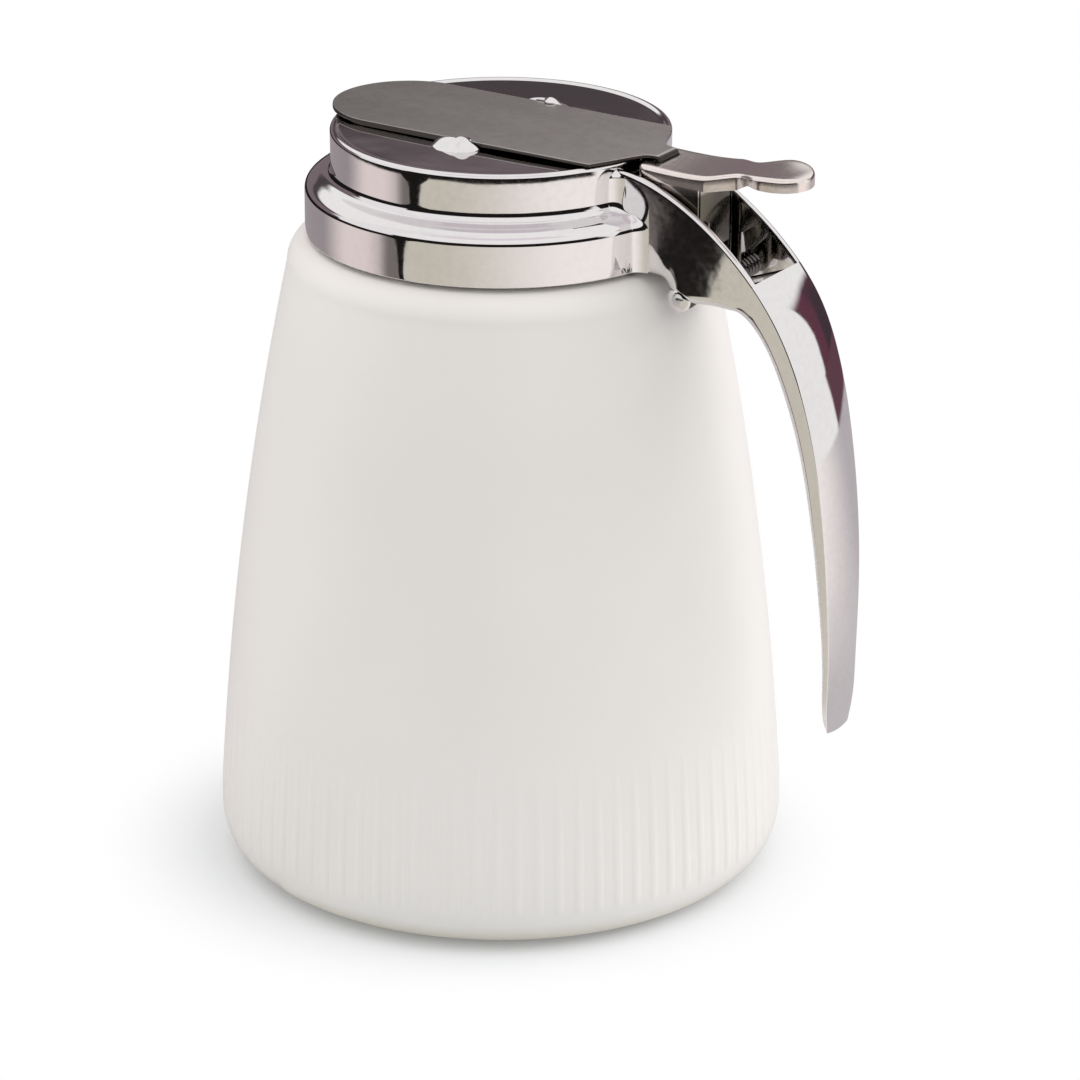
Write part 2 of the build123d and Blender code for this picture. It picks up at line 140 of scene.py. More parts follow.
def modified(piece, kind, **settings):
    """The piece with one modifier run and its shading set again."""
    modifier = piece.modifiers.new(kind, kind)
    for label, value in settings.items():
        setattr(modifier, label, value)
    mesh = plain_mesh(piece)
    piece.modifiers.clear()
    piece.data = mesh
    set_shading(mesh)
    return piece


def cut(piece, tool):
    """The piece less the tool. The tool is used up."""
    modified(piece, "BOOLEAN", operation="DIFFERENCE", solver="EXACT", object=tool)
    bpy.data.objects.remove(tool)
    return piece


print("sharp above", round(degrees(SHARP_ANGLE)), "degrees")

# %% [markdown]
# ## Drawing outlines
# An outline is a list of points. Straight stretches need only their ends. Round stretches come
# from arcs, and free curves from a cubic spline that passes through a few chosen points, which is
# how a maker would loft a handle from a side drawing.

# %% Arcs and splines
def arc(centre, radius, start, end, count):
    """Points on an arc, with angles in degrees."""
    angles = np.radians(np.linspace(start, end, count))
    return [(centre[0] + radius * cos(a), centre[1] + radius * sin(a)) for a in angles]


def arc_through(first, middle, last, count):
    """Points on the arc through three points."""
    (ax, ay), (bx, by), (cx, cy) = first, middle, last
    d = 2 * (ax * (by - cy) + bx * (cy - ay) + cx * (ay - by))
    sa, sb, sc = ax * ax + ay * ay, bx * bx + by * by, cx * cx + cy * cy
    ux = (sa * (by - cy) + sb * (cy - ay) + sc * (ay - by)) / d
    uy = (sa * (cx - bx) + sb * (ax - cx) + sc * (bx - ax)) / d
    start, mid, end = (degrees(atan2(y - uy, x - ux)) for x, y in (first, middle, last))
    mid, end = (start + (a - start + 180) % 360 - 180 for a in (mid, end))
    if (mid - start) * (end - start) < 0:
        end += 360 if mid > start else -360
    return arc((ux, uy), hypot(ax - ux, ay - uy), start, end, count)


def spline(knots, count, start=None, end=None):
    """Points on a cubic spline through the knots, spaced evenly along it."""
    knots = np.array(knots, float)
    gaps = np.linalg.norm(np.diff(knots, axis=0), axis=1)
    n = len(knots)
    system, target = np.zeros((n, n)), np.zeros((n, 2))
    for k in range(1, n - 1):
        h0, h1 = gaps[k - 1], gaps[k]
        system[k, k - 1:k + 2] = h1, 2 * (h0 + h1), h0
        rise = h1 * (knots[k] - knots[k - 1]) / h0 + h0 * (knots[k + 1] - knots[k]) / h1
        target[k] = 3 * rise
    for row, tangent in ((0, start), (n - 1, end)):
        system[row, row] = 1
        if tangent is None:
            neighbour = 1 if row == 0 else n - 2
            span = 0 if row == 0 else n - 2
            system[row, row], system[row, neighbour] = 2, 1
            target[row] = 3 * (knots[span + 1] - knots[span]) / gaps[span]
        else:
            target[row] = np.array(tangent) / np.linalg.norm(tangent)
    slopes = np.linalg.solve(system, target)
    dense = []
    for k in range(n - 1):
        for t in np.linspace(0, 1, 60, endpoint=k == n - 2):
            h = gaps[k]
            dense.append(
                (2 * t**3 - 3 * t**2 + 1) * knots[k] + (t**3 - 2 * t**2 + t) * h * slopes[k]
                + (3 * t**2 - 2 * t**3) * knots[k + 1] + (t**3 - t**2) * h * slopes[k + 1]
            )
    return resampled(dense, count)


def lengths(line):
    """How far along a line each of its points is."""
    return np.concatenate([[0], np.cumsum(np.linalg.norm(np.diff(line, axis=0), axis=1))])


def resampled(points, count):
    """The same line with its points evenly spaced."""
    points = np.array(points, float)
    along = lengths(points)
    wanted = np.linspace(0, along[-1], count)
    columns = [np.interp(wanted, along, points[:, c]) for c in range(points.shape[1])]
    return [tuple(p) for p in np.column_stack(columns)]


def smooth_step(low, high, value):
    """0 up to low, 1 from high on, and a smooth rise between them."""
    t = min(max((value - low) / (high - low), 0), 1)
    return t * t * (3 - 2 * t)


print("a quarter arc:", [tuple(round(c, 2) for c in p) for p in arc((0, 0), 1, 0, 90, 3)])

# %% [markdown]
# ## The jar
# The jar is blow-moulded plastic. Its wall leans in from a rounded heel to a tight shoulder and a
# short neck. The outline is turned round the axis, outside and inside in one closed line, so the
# wall has its real thickness. Fine ribs stand on the lower third; the skin under them is drawn
# back by the height of a rib, so that the crests reach the same size as the solid jar.

# %% The jar's outline
jar_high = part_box("jar")[1]
JAR_RADIUS = round(jar_high.x / MM)
NECK_TOP = round(jar_high.z / MM, 1)
WALL = 1.6
FOOT_RADIUS, FOOT_WIDTH, KICK_UP = 49.8, 4.0, 1.5
HEEL_HEIGHT, WIDEST_HEIGHT = 9.7, 13.7
WAIST = (54.3, 65.0)
SHOULDER_CENTRE, SHOULDER_ROUND = (37.4, 128.8), 6.2
NECK_RADIUS, NECK_WALL = 36.0, 2.0
FOOT_EDGE, NECK_EDGE = 0.3, 0.5
RIB_HEIGHT, RIB_START, RIB_END, RELIEF_FADE = 0.22, 7.6, 46.0, 15
SHOULDER_EDGE = (SHOULDER_CENTRE[0] + SHOULDER_ROUND, SHOULDER_CENTRE[1])

jar_side = arc_through((JAR_RADIUS, WIDEST_HEIGHT), WAIST, SHOULDER_EDGE, 120)
heel_half = ((JAR_RADIUS - FOOT_RADIUS) * sin(pi / 4), HEEL_HEIGHT * (1 - cos(pi / 4)))
jar_heel = arc_through(
    (FOOT_RADIUS, 0), (FOOT_RADIUS + heel_half[0], heel_half[1]), (JAR_RADIUS, HEEL_HEIGHT), 24
)


def rib_relief(height):
    """How far the skin lies under the rib crests at a height."""
    fade = 1 - smooth_step(RELIEF_FADE, RIB_END, height)
    return RIB_HEIGHT * smooth_step(0, HEEL_HEIGHT, height) * fade


def jar_skin(height):
    """The radius of the jar's skin between the ribs."""
    line = jar_heel + jar_side
    radius = np.interp(height, [z for r, z in line], [r for r, z in line])
    return radius - rib_relief(height)


foot_inside = FOOT_RADIUS - FOOT_WIDTH
neck_foot = SHOULDER_CENTRE[1] + SHOULDER_ROUND
outside = [(foot_inside - KICK_UP, KICK_UP), (foot_inside, FOOT_EDGE), (foot_inside + FOOT_EDGE, 0)]
outside += [(r - rib_relief(z), z) for r, z in jar_heel + jar_side]
outside += arc(SHOULDER_CENTRE, SHOULDER_ROUND, 0, 90, 16)[1:]
outside += arc((NECK_RADIUS + NECK_EDGE, neck_foot + NECK_EDGE), NECK_EDGE, 270, 180, 5)
outside += arc((NECK_RADIUS - NECK_EDGE, NECK_TOP - NECK_EDGE), NECK_EDGE, 0, 90, 6)
mouth = NECK_RADIUS - NECK_WALL
inner_round = SHOULDER_ROUND - WALL
heel_round = JAR_RADIUS - FOOT_RADIUS - WALL
inside = arc((mouth + NECK_EDGE, NECK_TOP - NECK_EDGE), NECK_EDGE, 90, 180, 6)
inside += [(mouth, SHOULDER_CENTRE[1] + inner_round)]
inside += arc(SHOULDER_CENTRE, inner_round, 90, 0, 12)
inside += [(r - WALL, z) for r, z in reversed(jar_side[:-1:6])]
inside += arc((FOOT_RADIUS, KICK_UP + WALL + heel_round), heel_round, 0, -90, 12)
inside += [(0, KICK_UP + WALL), (0, KICK_UP)]
jar_wall = turned("jar_wall", outside + inside, 256)
print("jar outline points:", len(outside + inside), "widest", JAR_RADIUS, "neck top", NECK_TOP)

# %% [markdown]
# The screw thread on the neck is a low ridge that climbs one and a quarter turns. The cast top has
# the same ridge, turned inwards. One function makes both: it walks round the neck, places a small
# trapezium at each step, and shrinks it at both ends, as a real thread runs out.

# %% The screw threads
THREAD_PITCH, THREAD_ROOT, THREAD_CREST, THREAD_DEPTH = 4.0, 2.0, 0.8, 1.2
THREAD_SUNK, THREAD_STEP, RUN_OUT = 0.3, 4, 25
NECK_THREAD_START, COLLAR_THREAD_DROP, COLLAR_BORE = 138.0, 1.6, 37.6
NECK_THREAD_SPAN, COLLAR_THREAD_SPAN = (-40, 400), (50, 490)


def thread(name, root_radius, crest_radius, start_height, span):
    """A ridge over a span of angles in degrees. Its root is sunk a little into what carries it."""
    sunk = THREAD_SUNK if root_radius > crest_radius else -THREAD_SUNK
    rings = []
    for angle in range(span[0], span[1] + 1, THREAD_STEP):
        run_out = smooth_step(0, RUN_OUT, min(angle - span[0], span[1] - angle))
        crest = root_radius + sunk / 2 + (crest_radius - root_radius - sunk / 2) * run_out
        height = start_height + THREAD_PITCH * angle / 360
        turn = radians(angle)
        section = [
            (root_radius + sunk, -THREAD_ROOT / 2), (crest, -THREAD_CREST / 2),
            (crest, THREAD_CREST / 2), (root_radius + sunk, THREAD_ROOT / 2),
        ]
        rings.append([(r * cos(turn), r * sin(turn), height + z) for r, z in section])
    return loft(name, rings)


neck_thread = thread(
    "neck_thread", NECK_RADIUS, NECK_RADIUS + THREAD_DEPTH, NECK_THREAD_START, NECK_THREAD_SPAN
)
print("thread turns:", round((NECK_THREAD_SPAN[1] - NECK_THREAD_SPAN[0]) / 360, 2))

# %% [markdown]
# ## The ribs
# About ninety fine ribs run up from the heel and fade out a third of the way up. They are the
# clearest case for Geometry Nodes here: one rib is modelled once, and a small tree puts a copy at
# each step round the axis. The tree's inputs are the rib, the number of ribs and the material.

# %% One rib
RIB_COUNT, RIB_HALF_WIDTH, RIB_BACK_HALF_WIDTH = 88, 1.25, 1.0
RIB_SUNK, RIB_BACK, LIFT_REACH, LIFT_FADE = 0.05, 0.4, 2.2, 14


def rib_lift(height):
    """A rib's height above the skin: a rounded lower end, then a long fade."""
    start = smooth_step(RIB_START, RIB_START + LIFT_REACH, height)
    return RIB_HEIGHT * start * (1 - smooth_step(LIFT_FADE, RIB_END, height))


rib_rings = []
for height in np.concatenate([np.linspace(RIB_START, 10, 7), np.linspace(11, RIB_END, 12)]):
    skin = jar_skin(height)
    ring = []
    for across in np.linspace(-1, 1, 7):
        y = across * RIB_HALF_WIDTH
        r = skin - RIB_SUNK + (rib_lift(height) + RIB_SUNK) * cos(across * pi / 2)
        ring.append((sqrt(r * r - y * y), y, height))
    ring += [(skin - RIB_BACK, y, height) for y in (RIB_BACK_HALF_WIDTH, -RIB_BACK_HALF_WIDTH)]
    rib_rings.append(ring)
one_rib = loft("one_rib", rib_rings)
print("rib faces:", len(one_rib.data.polygons))

# %% [markdown]
# Geometry and materials are both built from nodes below. A small class keeps that short: one call
# adds a node, and each of its inputs is given a number, a colour or another node's output.

# %% Short calls for a node tree
class Graph:
    """A node tree, with short calls for the nodes that this file uses most."""

    def __init__(self, tree):
        self.tree = tree

    def node(self, kind, inputs=(), **settings):
        """A new node with its settings made. Its inputs are given in order or by name."""
        node = self.tree.nodes.new(kind)
        for label, value in settings.items():
            setattr(node, label, value)
        for label, value in inputs.items() if isinstance(inputs, dict) else enumerate(inputs):
            socket = node.inputs[label]
            if isinstance(value, bpy.types.NodeSocket):
                self.tree.links.new(value, socket)
            elif isinstance(value, tuple) and len(value) < len(socket.default_value):
                socket.default_value = (*value, 1)
            else:
                socket.default_value = value
        return node

    def math(self, operation, *values):
        return self.node("ShaderNodeMath", values, operation=operation).outputs[0]

    def noise(self, vector, scale, detail=2.0, roughness=0.5):
        inputs = {"Vector": vector, "Scale": scale, "Detail": detail, "Roughness": roughness}
        return self.node("ShaderNodeTexNoise", inputs).outputs[0]

    def map(self, value, low, high, start=0.0, end=1.0, curve="LINEAR"):
        """Maps a value from low..high to start..end, and holds it there outside."""
        inputs = {"Value": value, "From Min": low, "From Max": high, "To Min": start, "To Max": end}
        return self.node("ShaderNodeMapRange", inputs, interpolation_type=curve).outputs[0]

    def mix(self, share, first, second):
        """The first colour where the share is 0, and the second where it is 1."""
        inputs = {"Factor": share, "A": first, "B": second}
        return self.node("ShaderNodeMix", inputs, data_type="RGBA").outputs["Result"]

    def split(self, vector):
        """The X, Y and Z of a vector."""
        return self.node("ShaderNodeSeparateXYZ", (vector,)).outputs


print("node calls:", [name for name in vars(Graph) if not name.startswith("_")])


# %% The tree that repeats the rib round the jar
def geometry_tree(name, inputs):
    """A Geometry Nodes tree and its inputs: geometry, the given ones and a material."""
    tree = bpy.data.node_groups.new(name, "GeometryNodeTree")
    for label, kind in (("Geometry", "Geometry"), *inputs, ("Material", "Material")):
        tree.interface.new_socket(label, in_out="INPUT", socket_type="NodeSocket" + kind)
    tree.interface.new_socket("Geometry", in_out="OUTPUT", socket_type="NodeSocketGeometry")
    graph = Graph(tree)
    return graph, graph.node("NodeGroupInput").outputs


def ended(graph, shape, material):
    """Ends a tree: it makes any copies real, sets the material and puts out the result."""
    real = graph.node("GeometryNodeRealizeInstances", (shape,)).outputs[0]
    paint = graph.node("GeometryNodeSetMaterial", {"Geometry": real, "Material": material})
    graph.node("NodeGroupOutput", (paint.outputs[0],))
    return graph.tree


def ring_of_copies():
    """A tree that places copies of an object, evenly turned round the Z axis."""
    graph, given = geometry_tree("ring_of_copies", [("Pattern", "Object"), ("Copies", "Int")])
    spots = graph.node("GeometryNodePoints", {"Count": given["Copies"]})
    pattern = graph.node("GeometryNodeObjectInfo", {"Object": given["Pattern"]})
    step = graph.math("DIVIDE", 2 * pi, given["Copies"])
    turn = graph.math("MULTIPLY", graph.node("GeometryNodeInputIndex").outputs[0], step)
    place = graph.node("GeometryNodeInstanceOnPoints", {
        "Points": spots.outputs[0],
        "Instance": pattern.outputs["Geometry"],
        "Rotation": graph.node("ShaderNodeCombineXYZ", {"Z": turn}).outputs[0],
    })
    return ended(graph, place.outputs[0], given["Material"])


def grown(name, source, tree, values):
    """What a tree makes of a helper object, as a plain mesh. The helper is used up."""
    modifier = source.modifiers.new("tree", "NODES")
    modifier.node_group = tree
    for item in tree.interface.items_tree:
        if item.in_out == "INPUT" and item.name in values:
            modifier[item.identifier] = values[item.name]
    piece = placed(name, plain_mesh(source))
    bpy.data.objects.remove(source)
    return piece


copies_tree = ring_of_copies()
print("inputs:", [item.name for item in copies_tree.interface.items_tree])

# %% [markdown]
# ## Finishes
# Five finishes show: milky plastic, chrome plate, brushed strip, satin nickel and turned steel.
# Cast and plated metal is never quite flat, handled metal is never quite even, and brushed or
# turned metal has fine lines. Those three effects are shared, so each is a node group that puts
# out a height or a mask, and each material places it with its own values.

# %% Shader node groups
def shader_group(name, outputs, **numbers):
    """A shader group and its inputs: a vector and the given numbers. It puts out numbers."""
    tree = bpy.data.node_groups.new(name, "ShaderNodeTree")
    tree.interface.new_socket("Vector", in_out="INPUT", socket_type="NodeSocketVector")
    for label, value in numbers.items():
        socket = tree.interface.new_socket(label, in_out="INPUT", socket_type="NodeSocketFloat")
        socket.default_value = value
    for label in outputs:
        tree.interface.new_socket(label, in_out="OUTPUT", socket_type="NodeSocketFloat")
    graph = Graph(tree)
    return graph, graph.node("NodeGroupInput").outputs


def ripple_group():
    """The slow waviness of a cast or pressed surface under its plating, as a height."""
    graph, given = shader_group("casting_ripple", ["Height"], Scale=60.0, Fine=0.15)
    slow = graph.noise(given["Vector"], given["Scale"], 1.0)
    quick = graph.noise(given["Vector"], graph.math("MULTIPLY", given["Scale"], 5.0), 1.0)
    fine = graph.math("MULTIPLY", quick, given["Fine"])
    graph.node("NodeGroupOutput", {"Height": graph.math("ADD", slow, fine)})
    return graph.tree


def handling_group():
    """Where fingers and cloths have dulled a surface: soft blotches with fine specks, 0 to 1."""
    graph, given = shader_group("handling_marks", ["Mask"], Scale=40.0)
    blotch = graph.noise(given["Vector"], given["Scale"], 4.0, 0.6)
    speck = graph.noise(given["Vector"], graph.math("MULTIPLY", given["Scale"], 22.0))
    mixed = graph.math("MULTIPLY", blotch, speck)
    graph.node("NodeGroupOutput", {"Mask": graph.map(mixed, 0.18, 0.42)})
    return graph.tree


def brushing_group():
    """Fine straight brush lines. The vector is stretched along the lines before it comes in."""
    graph, given = shader_group("brush_lines", ["Height", "Mask"], Scale=900.0)
    lines = graph.noise(given["Vector"], given["Scale"], 3.0, 0.7)
    broad = graph.noise(given["Vector"], graph.math("MULTIPLY", given["Scale"], 0.12))
    graph.node("NodeGroupOutput", {"Height": lines, "Mask": broad})
    return graph.tree


casting_ripple = ripple_group()
handling_marks = handling_group()
brush_lines = brushing_group()
print("shared groups:", [g.name for g in (casting_ripple, handling_marks, brush_lines)])


# %% Helpers for building a material
class Finish(Graph):
    """A material's node tree with its Principled shader, and short calls for what feeds it."""

    def __init__(self, name, **constants):
        self.material = bpy.data.materials.new(name)
        self.material.use_nodes = True
        super().__init__(self.material.node_tree)
        self.shader = self.tree.nodes["Principled BSDF"]
        for label, value in constants.items():
            self.shader.inputs[label].default_value = value
        self.place = self.node("ShaderNodeTexCoord").outputs["Object"]

    def group(self, tree, vector=None, **values):
        inputs = {"Vector": self.place if vector is None else vector, **values}
        return self.node("ShaderNodeGroup", inputs, node_tree=tree).outputs

    def stretched(self, scale):
        return self.node("ShaderNodeMapping", {"Vector": self.place, "Scale": scale}).outputs[0]

    def ramp(self, value, low, high, start, end):
        """Maps a value from low..high to start..end, which may be numbers or colours."""
        if isinstance(start, tuple):
            return self.mix(self.map(value, low, high), start, end)
        return self.map(value, low, high, start, end)

    def bump(self, height, distance, **under):
        """A normal from a height. The distance is in millimetres."""
        inputs = {"Height": height, "Distance": distance * MM, **under}
        return self.node("ShaderNodeBump", inputs).outputs[0]

    def feed(self, colour, roughness, **more):
        """Links what has been made to the shader, and hands back the material."""
        for label, source in {"Base Color": colour, "Roughness": roughness, **more}.items():
            self.tree.links.new(source, self.shader.inputs[label])
        return self.material


print("finish calls:", [name for name in vars(Finish) if not name.startswith("_")])

# %% [markdown]
# ### Milky plastic
# The jar is a soft satin white. Its colour drifts slightly over the surface, and in the lowest few
# millimetres it is darker and yellower. A very faint mould line runs up each side where the two
# halves of the mould met.

# %% Milky plastic
FOOT_TINT_HEIGHT, SEAM_HALF_WIDTH = 6, 0.35


def milky_plastic():
    finish = Finish("milky_plastic", IOR=1.46)
    place = finish.split(finish.place)
    drift = finish.noise(finish.place, 14.0, 3.0)
    body = finish.ramp(drift, 0.35, 0.65, (0.775, 0.763, 0.738), (0.802, 0.792, 0.772))
    # Darker and yellower in the lowest few millimetres.
    foot = finish.ramp(place["Z"], 0.0, FOOT_TINT_HEIGHT * MM, 1.0, 0.0)
    colour = finish.mix(foot, body, (0.66, 0.62, 0.53))
    from_seam = finish.math("ABSOLUTE", place["Y"])
    seam = finish.ramp(from_seam, 0.0, SEAM_HALF_WIDTH * MM, 1.0, 0.0)
    texture = finish.bump(finish.noise(finish.place, 900.0), 0.02)
    rough = finish.ramp(drift, 0.3, 0.7, 0.38, 0.46)
    return finish.feed(colour, rough, Normal=finish.bump(seam, 0.015, Normal=texture))


plastic = milky_plastic()
print("made", plastic.name)

# %% [markdown]
# ### Chrome plate
# Chrome shows the room, so its own colour is nearly plain. What makes it look cast is the slow
# ripple in its reflections, and the light haze that handling leaves on it.

# %% Chrome plate
def chrome_plate():
    finish = Finish("chrome_plate", Metallic=1.0)
    ripple = finish.group(casting_ripple, Scale=85.0, Fine=0.06)
    marks = finish.group(handling_marks, Scale=34.0)["Mask"]
    colour = finish.ramp(marks, 0.0, 1.0, (0.79, 0.77, 0.775), (0.75, 0.73, 0.735))
    rough = finish.ramp(marks, 0.0, 1.0, 0.035, 0.075)
    return finish.feed(colour, rough, Normal=finish.bump(ripple["Height"], 0.05))


chrome = chrome_plate()
print("made", chrome.name)

# %% [markdown]
# ### Brushed strip, satin nickel, steel and rubber
# The gate is rolled strip with fine lines along it, darker at the nose than at the rear, and its
# edges, underside and bent-down tongue are painted near-black as shade. The lever is nickel-plated
# and softly polished, warmer than the chrome; down in the box it is painted dark as shade.
# The pins are turned steel, the spring is drawn wire, and the gasket is a soft pale rubber.

# %% Brushed strip and satin nickel
TONE_RAMP_FROM, TONE_RAMP_TO = -38, 34
EDGE_SHADE_LOW, EDGE_SHADE_HIGH = 0.2, 0.05
BOX_SHADE_BELOW, BOX_SHADE_ENDS_ABOVE = 152.2, 154.2


def brushed_strip():
    finish = Finish("brushed_strip", Metallic=1.0)
    lines = finish.group(brush_lines, finish.stretched((0.03, 1.0, 1.0)), Scale=700.0)
    marks = finish.group(handling_marks, Scale=16.0)["Mask"]
    place = finish.split(finish.place)
    dull, bright = (0.29, 0.272, 0.257), (0.47, 0.443, 0.432)
    # Darker at the nose, lighter towards the rear.
    nose_to_rear_tone = finish.ramp(place["X"], TONE_RAMP_FROM * MM, TONE_RAMP_TO * MM, dull, bright)
    fine = finish.ramp(lines["Mask"], 0.3, 0.7, 0.0, 0.12)
    face = finish.mix(fine, nose_to_rear_tone, (0.62, 0.60, 0.57))
    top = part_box("gate")[1].z
    # Painted shade: everything below the top face (edges, underside and tongue) turns near-black.
    painted_edge_shade = finish.ramp(place["Z"], top - EDGE_SHADE_LOW * MM, top - EDGE_SHADE_HIGH * MM, 1.0, 0.0)
    colour = finish.mix(painted_edge_shade, face, (0.07, 0.062, 0.058))
    return finish.feed(colour, finish.ramp(marks, 0.0, 1.0, 0.27, 0.30))


def satin_nickel():
    finish = Finish("satin_nickel", Metallic=1.0)
    ripple = finish.group(casting_ripple, Scale=90.0, Fine=0.06)
    marks = finish.group(handling_marks, Scale=60.0)["Mask"]
    height = finish.split(finish.place)["Z"]
    clean = finish.ramp(marks, 0.0, 1.0, (0.84, 0.765, 0.73), (0.79, 0.715, 0.68))
    # Painted shade: down in the box the lever turns dark, standing in for the box's shade.
    painted_box_shade = finish.ramp(height, BOX_SHADE_BELOW * MM, BOX_SHADE_ENDS_ABOVE * MM, 1.0, 0.0)
    colour = finish.mix(painted_box_shade, clean, (0.14, 0.13, 0.105))
    rough = finish.ramp(marks, 0.0, 1.0, 0.17, 0.23)
    return finish.feed(colour, rough, Normal=finish.bump(ripple["Height"], 0.03))


strip = brushed_strip()
nickel = satin_nickel()
print("made", strip.name, "and", nickel.name)


# %% Turned steel, drawn wire and rubber
def turned_steel(name, scale, tint):
    finish = Finish(name, Metallic=1.0)
    lines = finish.group(brush_lines, finish.stretched((1.0, 8.0, 1.0)), Scale=scale)
    shade = tuple(0.88 * c for c in tint)
    colour = finish.ramp(lines["Mask"], 0.3, 0.7, shade, tint)
    rough = finish.ramp(lines["Height"], 0.2, 0.8, 0.12, 0.24)
    return finish.feed(colour, rough, Normal=finish.bump(lines["Height"], 0.006))


def pale_rubber():
    finish = Finish("seal_rubber", IOR=1.48)
    marks = finish.group(handling_marks, Scale=120.0)["Mask"]
    grain = finish.noise(finish.place, 2500.0)
    colour = finish.ramp(marks, 0.0, 1.0, (0.60, 0.58, 0.53), (0.54, 0.52, 0.47))
    rough = finish.ramp(grain, 0.3, 0.7, 0.55, 0.72)
    return finish.feed(colour, rough, Normal=finish.bump(grain, 0.015))


steel = turned_steel("steel_pin", 1400.0, (0.66, 0.65, 0.65))
wire_metal = turned_steel("spring_wire", 2200.0, (0.20, 0.195, 0.19))
rubber = pale_rubber()
print("made", [m.name for m in (steel, wire_metal, rubber)])


# %% [markdown]
# ## The jar is put together
# The ribs' tree runs on a helper object. Its result becomes a plain mesh, and the helper and its
# modifier go away, so that only ordinary meshes are left.

# %% Ribs on the jar
def dress(piece, material, body, slot, *nodes):
    """Gives a finished piece its material and its body, and hides the nodes it stands for. The slot
    is not used.
    """
    if not piece.data.materials:
        piece.data.materials.append(material)
    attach(piece, body)
    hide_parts(*nodes)
    print(piece.name, "faces", len(piece.data.polygons))
    return piece


rib_helper = piece_from("rib_helper", [(0, 0, 0), (1, 0, 0), (0, 1, 0)], [(0, 1, 2)])
ribs = grown("jar_ribs", rib_helper, copies_tree, {
    "Pattern": one_rib, "Copies": RIB_COUNT, "Material": plastic,
})
ribs.data.materials.clear()
bpy.data.objects.remove(one_rib)
jar = joined("jar_moulding", [jar_wall, neck_thread, ribs])
set_shading(jar.data)
dress(jar, plastic, "jar", "milky_plastic", "jar")

# %% [markdown]
# ## The cast top: collar, bead and disc
# The collar, the bead above it, the short cylinder and the dished disc are one turning. The
# outline matters more than anything else here, because chrome shows every change of slope as a
# band: the rolled lip, the nearly upright cylinder, the hollow at its foot, and the bead.

# %% The collar's outline
COLLAR_RADIUS, COLLAR_BOTTOM, COLLAR_CEILING = 39.8, 135.7, 146.3
COLLAR_EDGE, CYLINDER_RADIUS = 0.35, 34.5
RIM_CENTRE, RIM_ROUND = (33.72, 156.42), 0.83
THROAT_RADIUS, THROAT_CORNER, DISC_UNDERSIDE = 31.9, 1, 155.5
DISH_RADIUS, DISH_HEIGHT, DISH_DEPTH = 32.6, 156.95, 0.25

shoulder = spline(
    [(COLLAR_RADIUS, 144.1), (39.71, 144.95), (39.36, 145.65), (38.75, 146.2), (38.0, 146.62),
     (37.1, 146.98), (36.3, 147.15), (35.6, 147.33), (35.0, 147.7), (34.7, 148.25),
     (34.55, 148.85), (CYLINDER_RADIUS, 150.0)],
    64, start=(0, 1), end=(0, 1),
)
rim = arc(RIM_CENTRE, RIM_ROUND, 0, 90, 12)
rim_inside = spline(
    [(33.45, 157.24), (32.9, 157.03), (32.2, 156.94)], 8, start=(-1, 0), end=(-1, -0.02),
)
dish_places = np.linspace(31.6, 0, 24)
dish = [(r, DISH_HEIGHT - DISH_DEPTH * (1 - (r / DISH_RADIUS) ** 2)) for r in dish_places]

edge_centre = (COLLAR_RADIUS - COLLAR_EDGE, COLLAR_BOTTOM + COLLAR_EDGE)
collar_outline = arc(edge_centre, COLLAR_EDGE, -90, 0, 6)
collar_outline += resampled([collar_outline[-1], shoulder[0]], 6)[1:-1] + shoulder
collar_outline += resampled([shoulder[-1], rim[0]], 4)[1:-1]
collar_outline += rim + rim_inside + dish
collar_outline += [(0, DISC_UNDERSIDE), (THROAT_RADIUS - THROAT_CORNER, DISC_UNDERSIDE)]
collar_outline += [(THROAT_RADIUS, DISC_UNDERSIDE - THROAT_CORNER)]
collar_outline += [(THROAT_RADIUS, COLLAR_CEILING)]
collar_outline += [(COLLAR_BORE, COLLAR_CEILING), (COLLAR_BORE, COLLAR_BOTTOM)]
collar = turned("collar", collar_outline, 288)
print("collar outline points:", len(collar_outline))

# %% [markdown]
# The pouring slot lies under the gate's nose. It is the only real cut in the turning, so a block
# with the slot's shape is taken away with a boolean.

# %% The pouring slot
SLOT_RADIUS, SLOT_BACK, SLOT_HALF_WIDTH = 31.4, -26.4, 11.0


def prism(name, outline, low, high, plane="XY"):
    """A block with the given outline, drawn in XY and raised, or drawn in XZ and widened in Y."""
    flat = plane == "XY"
    return loft(name, [[(a, b, h) if flat else (a, h, b) for a, b in outline] for h in (low, high)])


slot_reach = degrees(atan2(SLOT_HALF_WIDTH, sqrt(SLOT_RADIUS**2 - SLOT_HALF_WIDTH**2)))
slot_outline = arc((0, 0), SLOT_RADIUS, 180 - slot_reach, 180 + slot_reach, 24)
slot_outline += [(SLOT_BACK, -SLOT_HALF_WIDTH), (SLOT_BACK, SLOT_HALF_WIDTH)]
cut(collar, prism("slot_block", slot_outline, DISC_UNDERSIDE - 1, DISH_HEIGHT + 1.5))
collar_thread = thread(
    "collar_thread", COLLAR_BORE, COLLAR_BORE - THREAD_DEPTH,
    NECK_THREAD_START - COLLAR_THREAD_DROP, COLLAR_THREAD_SPAN,
)
print("slot length:", SLOT_RADIUS + SLOT_BACK)

# %% [markdown]
# ## The box and the handle
# Two thin walls stand out from the collar and carry the lever's pin. Behind the box they close
# into the handle, which curves down and gets narrower and thinner. The outer line and the inner
# line are drawn in side view, and sections are stretched between them. Each section knows how far
# it is from both lines, so the edges can be rounded by the same amount all along.

# %% The side view's lines
BOX_HALF_WIDTH, BOX_WALL = 9.3, 1.3
WEB_START, LEDGE_START, LEDGE_TOP = 65.0, 59.0, 132.6
PIVOT, LUG_RADIUS = (47.9, 131.5), 2.7
HANDLE_TIP = 44.4

